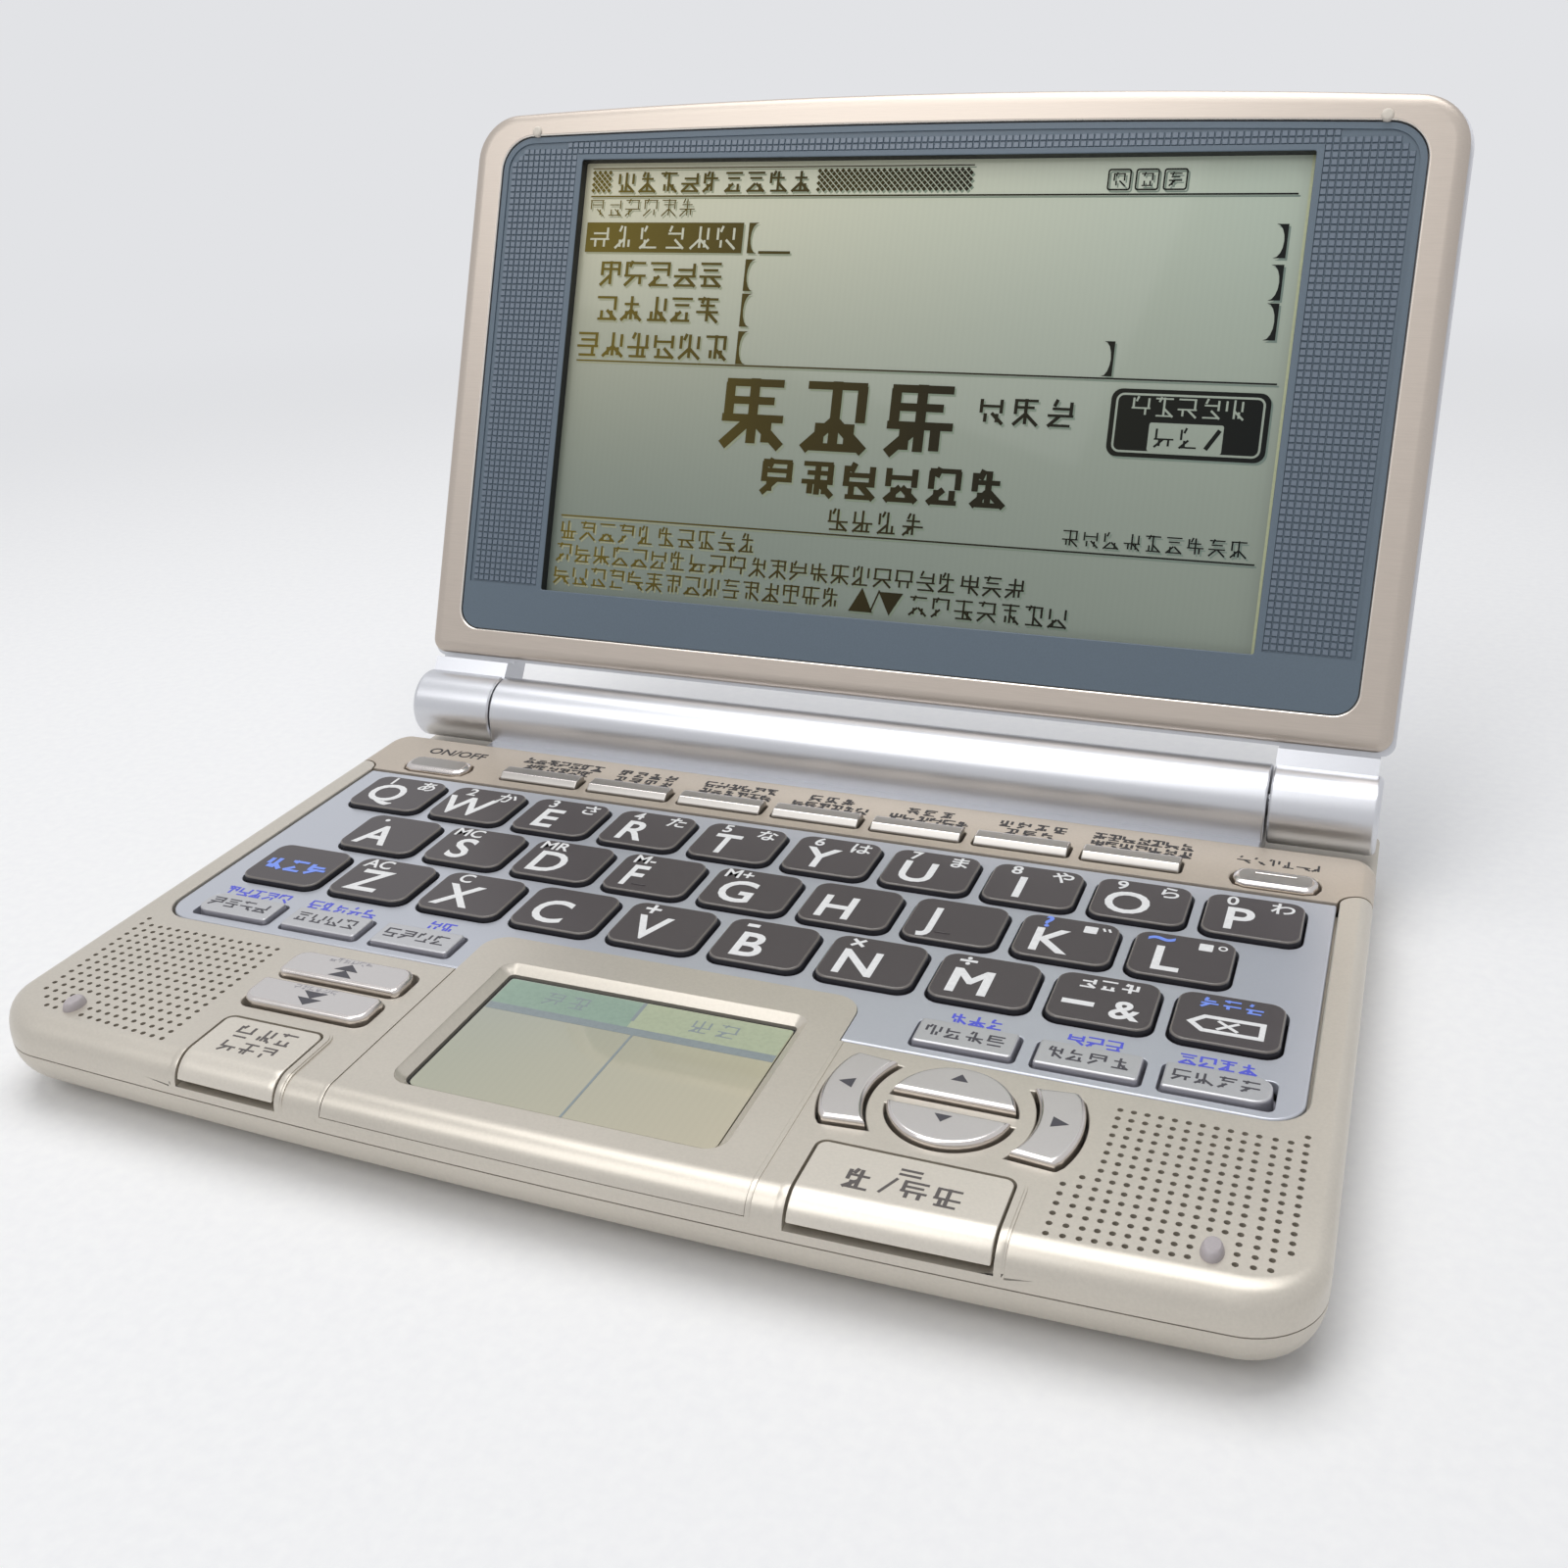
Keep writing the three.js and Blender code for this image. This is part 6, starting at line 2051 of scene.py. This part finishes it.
class DICTIONARY_OT_display(DictionaryPiece, bpy.types.Operator):
    """Builds the main display with generic stand-in content"""

    bl_idname = "dictionary.display"
    bl_label = "Main display"

    def execute(self, context):
        shape = bmesh.new()
        margin = 1.6
        add_box(shape, (-WINDOW_X - margin, WINDOW_LOW - margin, -4.0),
                (WINDOW_X + margin, WINDOW_HIGH + margin, PANEL_TOP))
        panel = raw_object(shape, "display_glass")
        ink = Print(PANEL_TOP, thickness=0.02)
        self.content(ink)
        ink.join(panel)
        finishes = ["lcd", "lcd_dot", "lcd_edge", "lcd_shadow"]
        finish_piece(panel, "lid", finishes, ["display_panel"], LID)
        return {"FINISHED"}

    def content(self, ink):
        """Prints a made-up page twice: the shadow on the reflector, then the dark cells."""
        self.page(ink, 0.28, -0.3, SHADOW)
        ink.thickness = 0.045
        self.page(ink, 0, 0, DARK)
        ink.block(plain_rectangle(54.8, 56.8, 18.5, 89.0), BRIGHT)
        # Light marks on the menu's first row and in the badge
        ink.thickness = 0.07
        ink.draw = random.Random(91)
        ink.word(-53.7, 76.1, 3.7, 6, CLEAR, 1.17, 0.1)
        ink.word(34.4, 53.1, 2.9, 5, CLEAR, 1.1, 0.1)
        ink.ring(rounded_box(32.3, 52.7, 46.6, 54.9, 1.1, 5), 0.3, CLEAR)
        ink.block(rounded_box(37.3, 47.5, 46.9, 50.9, 0.3, 3), CLEAR)
        ink.thickness = 0.09
        ink.word(38.0, 48.9, 3.0, 2, DARK, 1.15, 0.1)
        ink.bar((45.3, 47.5), (47.0, 50.2), 0.6, DARK)

    def page(self, ink, across, up, slot):
        """One print of the page: title row, menu, headline, badge and lines, moved by an offset."""
        ink.draw = random.Random(77)
        ink.offset = (across, up)
        for left, middle, size, count, pitch, weight in PAGE_WORDS:
            strokes = 8 if size > 5 else 6
            ink.word(left, middle, size, count, slot, pitch, weight, strokes)
        for start, end, y, width in PAGE_LINES:
            ink.bar((start, y), (end, y), width, slot)
        for left, right in PAGE_HATCHES:
            self.hatch(ink, left, right, 83.0, 86.5, slot)
        for left in PAGE_BOXES:
            ink.ring(rounded_box(left, left + 3.3, 83.0, 86.0, 0.4, 3), 0.22, slot)
            ink.glyph((left + 1.65, 84.5), 2.0, slot)
        ink.block(plain_rectangle(-54.3, -27.4, 73.8, 78.4), slot)
        ink.block(rounded_box(31.6, 53.4, 46.0, 55.5, 1.5, 6), slot)
        for low, high in PAGE_ROWS:
            self.bracket(ink, -26.5, -24.9, low, high, slot)
        for low, high in PAGE_ROWS[:3]:
            self.bracket(ink, 52.8, 51.2, low, high, slot)
        self.bracket(ink, 31.2, 29.7, 57.1, 62.0, slot)
        for x, apex, base in ((-2.1, 24.6, 21.0), (2.4, 20.8, 24.2)):
            triangle(ink, (x, apex), (x, base), 1.9, slot)
        ink.bar((-0.5, 21.2), (0.6, 24.4), 0.25, slot)
        ink.offset = (0, 0)

    def hatch(self, ink, left, right, low, high, slot):
        """Fills a box with small dark diamonds in staggered rows."""
        step = 0.92
        half = 0.36
        for row in range(int((high - low) * 2 / step)):
            y = low + half + row * step / 2
            x = left + half + (row % 2) * step / 2
            while x + half < right:
                ink.block([(x - half, y), (x, y - half), (x + half, y), (x, y + half)], slot)
                x += step

    def bracket(self, ink, flat, tips, low, high, slot):
        """A filled bracket: a straight edge and a side that hollows in between two tips."""
        middle = (low + high) / 2
        half = (high - low) / 2
        hollow = (flat - tips) * 0.75
        points = [(flat, low), (tips, low)]
        for step in range(1, 8):
            angle = math.pi * step / 8
            points.append((tips + hollow * math.sin(angle), middle - half * math.cos(angle)))
        points += [(tips, high), (flat, high)]
        ink.block(points, slot)


# The page's rows that stand between brackets
PAGE_ROWS = ((73.8, 78.4), (68.1, 72.9), (62.7, 67.7), (57.0, 62.0))

# Ends of the hatched bars and left edges of the small boxes in the title row
PAGE_HATCHES = ((-54.2, -50.3), (-16.3, 7.9))
PAGE_BOXES = (27.4, 31.3, 35.2)

# Made-up words on the page: left edge, middle, height, count, pitch, boldness
PAGE_WORDS = (
    (-49.8, 84.6, 3.3, 9, 1.11, 0.12),
    (-54.3, 80.7, 2.8, 6, 1.12, 0.06),
    (-51.4, 70.5, 4.1, 5, 1.05, 0.12),
    (-51.5, 65.1, 4.1, 5, 1.06, 0.12),
    (-54.2, 59.4, 4.1, 6, 1.08, 0.12),
    (-28.3, 49.8, 11.2, 3, 1.19, 0.14),
    (12.4, 51.6, 4.1, 3, 1.24, 0.12),
    (-20.5, 40.3, 5.6, 6, 1.18, 0.17),
    (-8.9, 34.4, 3.5, 4, 1.12, 0.1),
    (26.8, 34.1, 2.5, 9, 1.17, 0.09),
    (-53.9, 29.9, 3.1, 10, 1.11, 0.1),
    (-54.3, 26.3, 3.1, 23, 1.08, 0.1),
    (-54.4, 22.7, 3.1, 15, 1.06, 0.1),
    (5.2, 22.6, 3.1, 7, 1.12, 0.1),
)

# Lines on the page: start, end, height on the page, width
PAGE_LINES = (
    (-54.2, 7.9, 86.75, 0.16),
    (-54.1, 53.5, 82.45, 0.22),
    (-24.6, -19.4, 73.95, 0.4),
    (-53.9, 53.8, 56.8, 0.22),
    (-53.9, 53.8, 32.15, 0.22),
)

# Ears of the lid: first ring and full radius, where the round of the outer edge starts
EAR_RINGS = ((60.0, 5.15), (60.25, 5.4))
EAR_EDGE_X, EAR_EDGE_RADIUS = 73.2, 4.6
EAR_ROUND = 0.8
# Back and face of the lid's neck, at the hinge axis
NECK_BACK, NECK_FACE = -3.8, 2.4
# Bores for the hinge pins, from the ears' inner ends
PIN_FROM, PIN_TO = 59.0, 66.3


class DICTIONARY_OT_lid_back(DictionaryPiece, bpy.types.Operator):
    """Builds the lid's back cover with its two ears on the hinge pins"""

    bl_idname = "dictionary.lid_back"
    bl_label = "Lid back cover"

    def execute(self, context):
        rim = LID_FACE - BACK_DEPTH
        levels = []
        for sine, cosine in quarter_turn(8):
            levels.append(level(LID_BACK + LID_ROUND * (1 - cosine), LID_ROUND * (1 - sine)))
        cover = raw_object(stack(LID_SHAPE, levels + [level(rim, 0)]), "lid_back_skin")
        hollow = [level(LID_BACK + LID_WALL, LID_WALL), level(rim + OVER, LID_WALL)]
        carve(cover, stack(LID_SHAPE, hollow))
        for side in (-1, 1):
            carve(cover, self.ear(side), "UNION")
            carve(cover, self.neck(side), "UNION")
        bore = circle(0, 0, PIN_BORE, 32)
        for side in (-1, 1):
            carve(cover, rod(bore, (side * PIN_FROM, side * PIN_TO)))
        soften(cover, 0.1)
        finish_piece(cover, "lid", ["barrel"], ["lid_back_cover"], LID)
        return {"FINISHED"}

    def ear(self, side):
        """A short drum at one end of the hinge, with rounded outer edge."""
        rings = list(EAR_RINGS)
        for sine, cosine in quarter_turn(6):
            rings.append((EAR_EDGE_X + EAR_ROUND * sine, EAR_EDGE_RADIUS + EAR_ROUND * cosine))
        shape = bmesh.new()
        add_sections(shape, [(side * x, circle(0, 0, radius, 48)) for x, radius in rings])
        return shape

    def neck(self, side):
        """The part of the lid that runs down into the drum."""
        rim = LID_FACE - BACK_DEPTH
        low = LID_LOW - GAP
        high = LID_LOW + OVER
        profile = [(0, NECK_BACK), (high, LID_BACK), (high, rim), (low, rim),
                   (low, LID_FACE - GAP), (0, NECK_FACE)]
        return rod(profile, (side * EAR_RINGS[0][0], side * EAR_EDGE_X))


# Finishes of the parts inside
INNER_FINISHES = {
    "key_mat": "mat", "circuit_board": "board", "speaker_left": "speaker",
    "speaker_right": "speaker", "battery_left": "cell", "battery_right": "cell",
    "hinge_pin_left": "pin", "hinge_pin_right": "pin",
}


class DICTIONARY_OT_inside(DictionaryPiece, bpy.types.Operator):
    """Gives the hidden parts their finishes"""

    bl_idname = "dictionary.inside"
    bl_label = "Inner parts"

    def execute(self, context):
        for node, finish in INNER_FINISHES.items():
            made = frame["nodes"][node]
            if not made.material_slots:
                raise RuntimeError(node + " has no material slot")
            for place in made.material_slots:
                place.material = MATERIALS[finish]
        return {"FINISHED"}


# The stage, in metres: backdrop, where the floor fades into it, lamps and camera
BACKDROP = "#E2E3E6"
FLOOR_HALF = 9
FADE_FROM, FADE_TO = 0.16, 0.6
# Each lamp's place, size and power
LAMPS = {
    "top_softbox": ((-0.05, 0.08, 0.75), 0.6, 3.2),
    "front_softbox": ((-0.3, -0.55, 0.75), 0.5, 1.7),
}
LAMPS_AIM = Vector((0, 0, 0.03))
CAMERA_AT = (0.072273, (-176.047 + PLAN_Y) * MM, 0.108699)
CAMERA_ANGLES = (65.465, 1.9077, 21.1767)
LENS = 36.721


class DICTIONARY_OT_stage(DictionaryPiece, bpy.types.Operator):
    """Sets up the floor, the lamps and the camera"""

    bl_idname = "dictionary.stage"
    bl_label = "Stage"

    def execute(self, context):
        scene = context.scene
        self.floor()
        self.world(scene)
        for name, (place, size, power) in LAMPS.items():
            self.lamp(name, place, size, power)
        data = bpy.data.cameras.new("camera")
        data.lens = LENS
        data.sensor_width = 36
        data.clip_start = 0.01
        camera = bpy.data.objects.new("camera", data)
        camera.location = CAMERA_AT
        camera.rotation_euler = Euler([math.radians(angle) for angle in CAMERA_ANGLES], "XYZ")
        scene.collection.objects.link(camera)
        scene.camera = camera
        scene.view_settings.view_transform = "Standard"
        return {"FINISHED"}

    def floor(self):
        shape = bmesh.new()
        corners = plain_rectangle(-FLOOR_HALF, FLOOR_HALF, -FLOOR_HALF, FLOOR_HALF)
        shape.faces.new([shape.verts.new(corner) for corner in at_height(corners, 0)])
        made = raw_object(shape, "floor")
        material, tree, shader, place = start_material("matt_white_paper")
        fibres = noise(tree, place, 1.5, detail=3.0)
        tones = [(0.3, linear("#FAFAFB")), (0.7, linear("#FEFEFE"))]
        tree.links.new(ramp(tree, fibres, tones).outputs["Color"], shader.inputs["Base Color"])
        shader.inputs["Roughness"].default_value = 0.9
        # Far from the object the paper fades into the pale grey backdrop.
        reach = add_node(tree, "ShaderNodeVectorMath", {"operation": "LENGTH"}, {0: place})
        far = add_node(
            tree, "ShaderNodeMapRange",
            {"interpolation_type": "SMOOTHSTEP", "From Min": FADE_FROM, "From Max": FADE_TO},
            {"Value": reach.outputs["Value"]},
        )
        share = calculated(tree, "MULTIPLY", far.outputs["Result"], seen_rays(tree))
        glow = add_node(tree, "ShaderNodeEmission", {"Color": linear(BACKDROP), "Strength": 1.0})
        mixed = add_node(
            tree, "ShaderNodeMixShader", links={0: share, 1: shader.outputs[0], 2: glow.outputs[0]})
        tree.links.new(mixed.outputs[0], tree.nodes["Material Output"].inputs["Surface"])
        made.data.materials.append(material)

    def world(self, scene):
        world = bpy.data.worlds.new("studio")
        world.use_nodes = True
        tree = world.node_tree
        tree.nodes.clear()
        light = add_node(
            tree, "ShaderNodeBackground", {"Color": linear("#F2F4F8"), "Strength": 0.35})
        white = add_node(
            tree, "ShaderNodeBackground", {"Color": linear(BACKDROP), "Strength": 1.0})
        mixed = add_node(
            tree, "ShaderNodeMixShader",
            links={0: seen_rays(tree), 1: light.outputs[0], 2: white.outputs[0]},
        )
        add_node(tree, "ShaderNodeOutputWorld", links={"Surface": mixed.outputs[0]})
        scene.world = world

    def lamp(self, name, place, size, power):
        data = bpy.data.lights.new(name, "AREA")
        data.shape = "SQUARE"
        data.size = size
        data.energy = power
        made = bpy.data.objects.new(name, data)
        made.location = place
        made.rotation_euler = (LAMPS_AIM - made.location).to_track_quat("-Z", "Y").to_euler()
        bpy.context.collection.objects.link(made)


def seen_rays(tree):
    """One for rays from the eye or by way of a mirror or glass, and zero for rays of light."""
    rays = add_node(tree, "ShaderNodeLightPath").outputs
    mirrored = calculated(tree, "MAXIMUM", rays["Is Glossy Ray"], rays["Is Transmission Ray"])
    return calculated(tree, "MAXIMUM", rays["Is Camera Ray"], mirrored)


class DICTIONARY_PT_panel(bpy.types.Panel):
    """The sidebar panel that lists every step"""

    bl_idname = "DICTIONARY_PT_panel"
    bl_label = "Electronic dictionary"
    bl_space_type = "VIEW_3D"
    bl_region_type = "UI"
    bl_category = "Dictionary"

    def draw(self, context):
        layout = self.layout
        for group in (context.scene.dictionary_colours, context.scene.dictionary_sizes):
            box = layout.box()
            for name in group.__annotations__:
                box.prop(group, name)
        for step in STEPS:
            layout.operator(step.bl_idname)


STEPS = (
    DICTIONARY_OT_finishes,
    DICTIONARY_OT_deck,
    DICTIONARY_OT_strip,
    DICTIONARY_OT_plate,
    DICTIONARY_OT_letter_keys,
    DICTIONARY_OT_small_keys,
    DICTIONARY_OT_strip_keys,
    DICTIONARY_OT_page_keys,
    DICTIONARY_OT_arrow_keys,
    DICTIONARY_OT_front_keys,
    DICTIONARY_OT_writing_panel,
    DICTIONARY_OT_lower_case,
    DICTIONARY_OT_hinge,
    DICTIONARY_OT_lid_frame,
    DICTIONARY_OT_bezel,
    DICTIONARY_OT_display,
    DICTIONARY_OT_lid_back,
    DICTIONARY_OT_inside,
    DICTIONARY_OT_stage,
)
CLASSES = (DictionaryColours, DictionarySizes, *STEPS, DICTIONARY_PT_panel)


def register():
    for item in CLASSES:
        bpy.utils.register_class(item)
    bpy.types.Scene.dictionary_colours = bpy.props.PointerProperty(type=DictionaryColours)
    bpy.types.Scene.dictionary_sizes = bpy.props.PointerProperty(type=DictionarySizes)


def unregister():
    del bpy.types.Scene.dictionary_sizes
    del bpy.types.Scene.dictionary_colours
    for item in reversed(CLASSES):
        bpy.utils.unregister_class(item)


def main():
    register()
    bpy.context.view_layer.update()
    for step in STEPS:
        group, name = step.bl_idname.split(".")
        getattr(getattr(bpy.ops, group), name)()


if __name__ == "__main__":
    main()
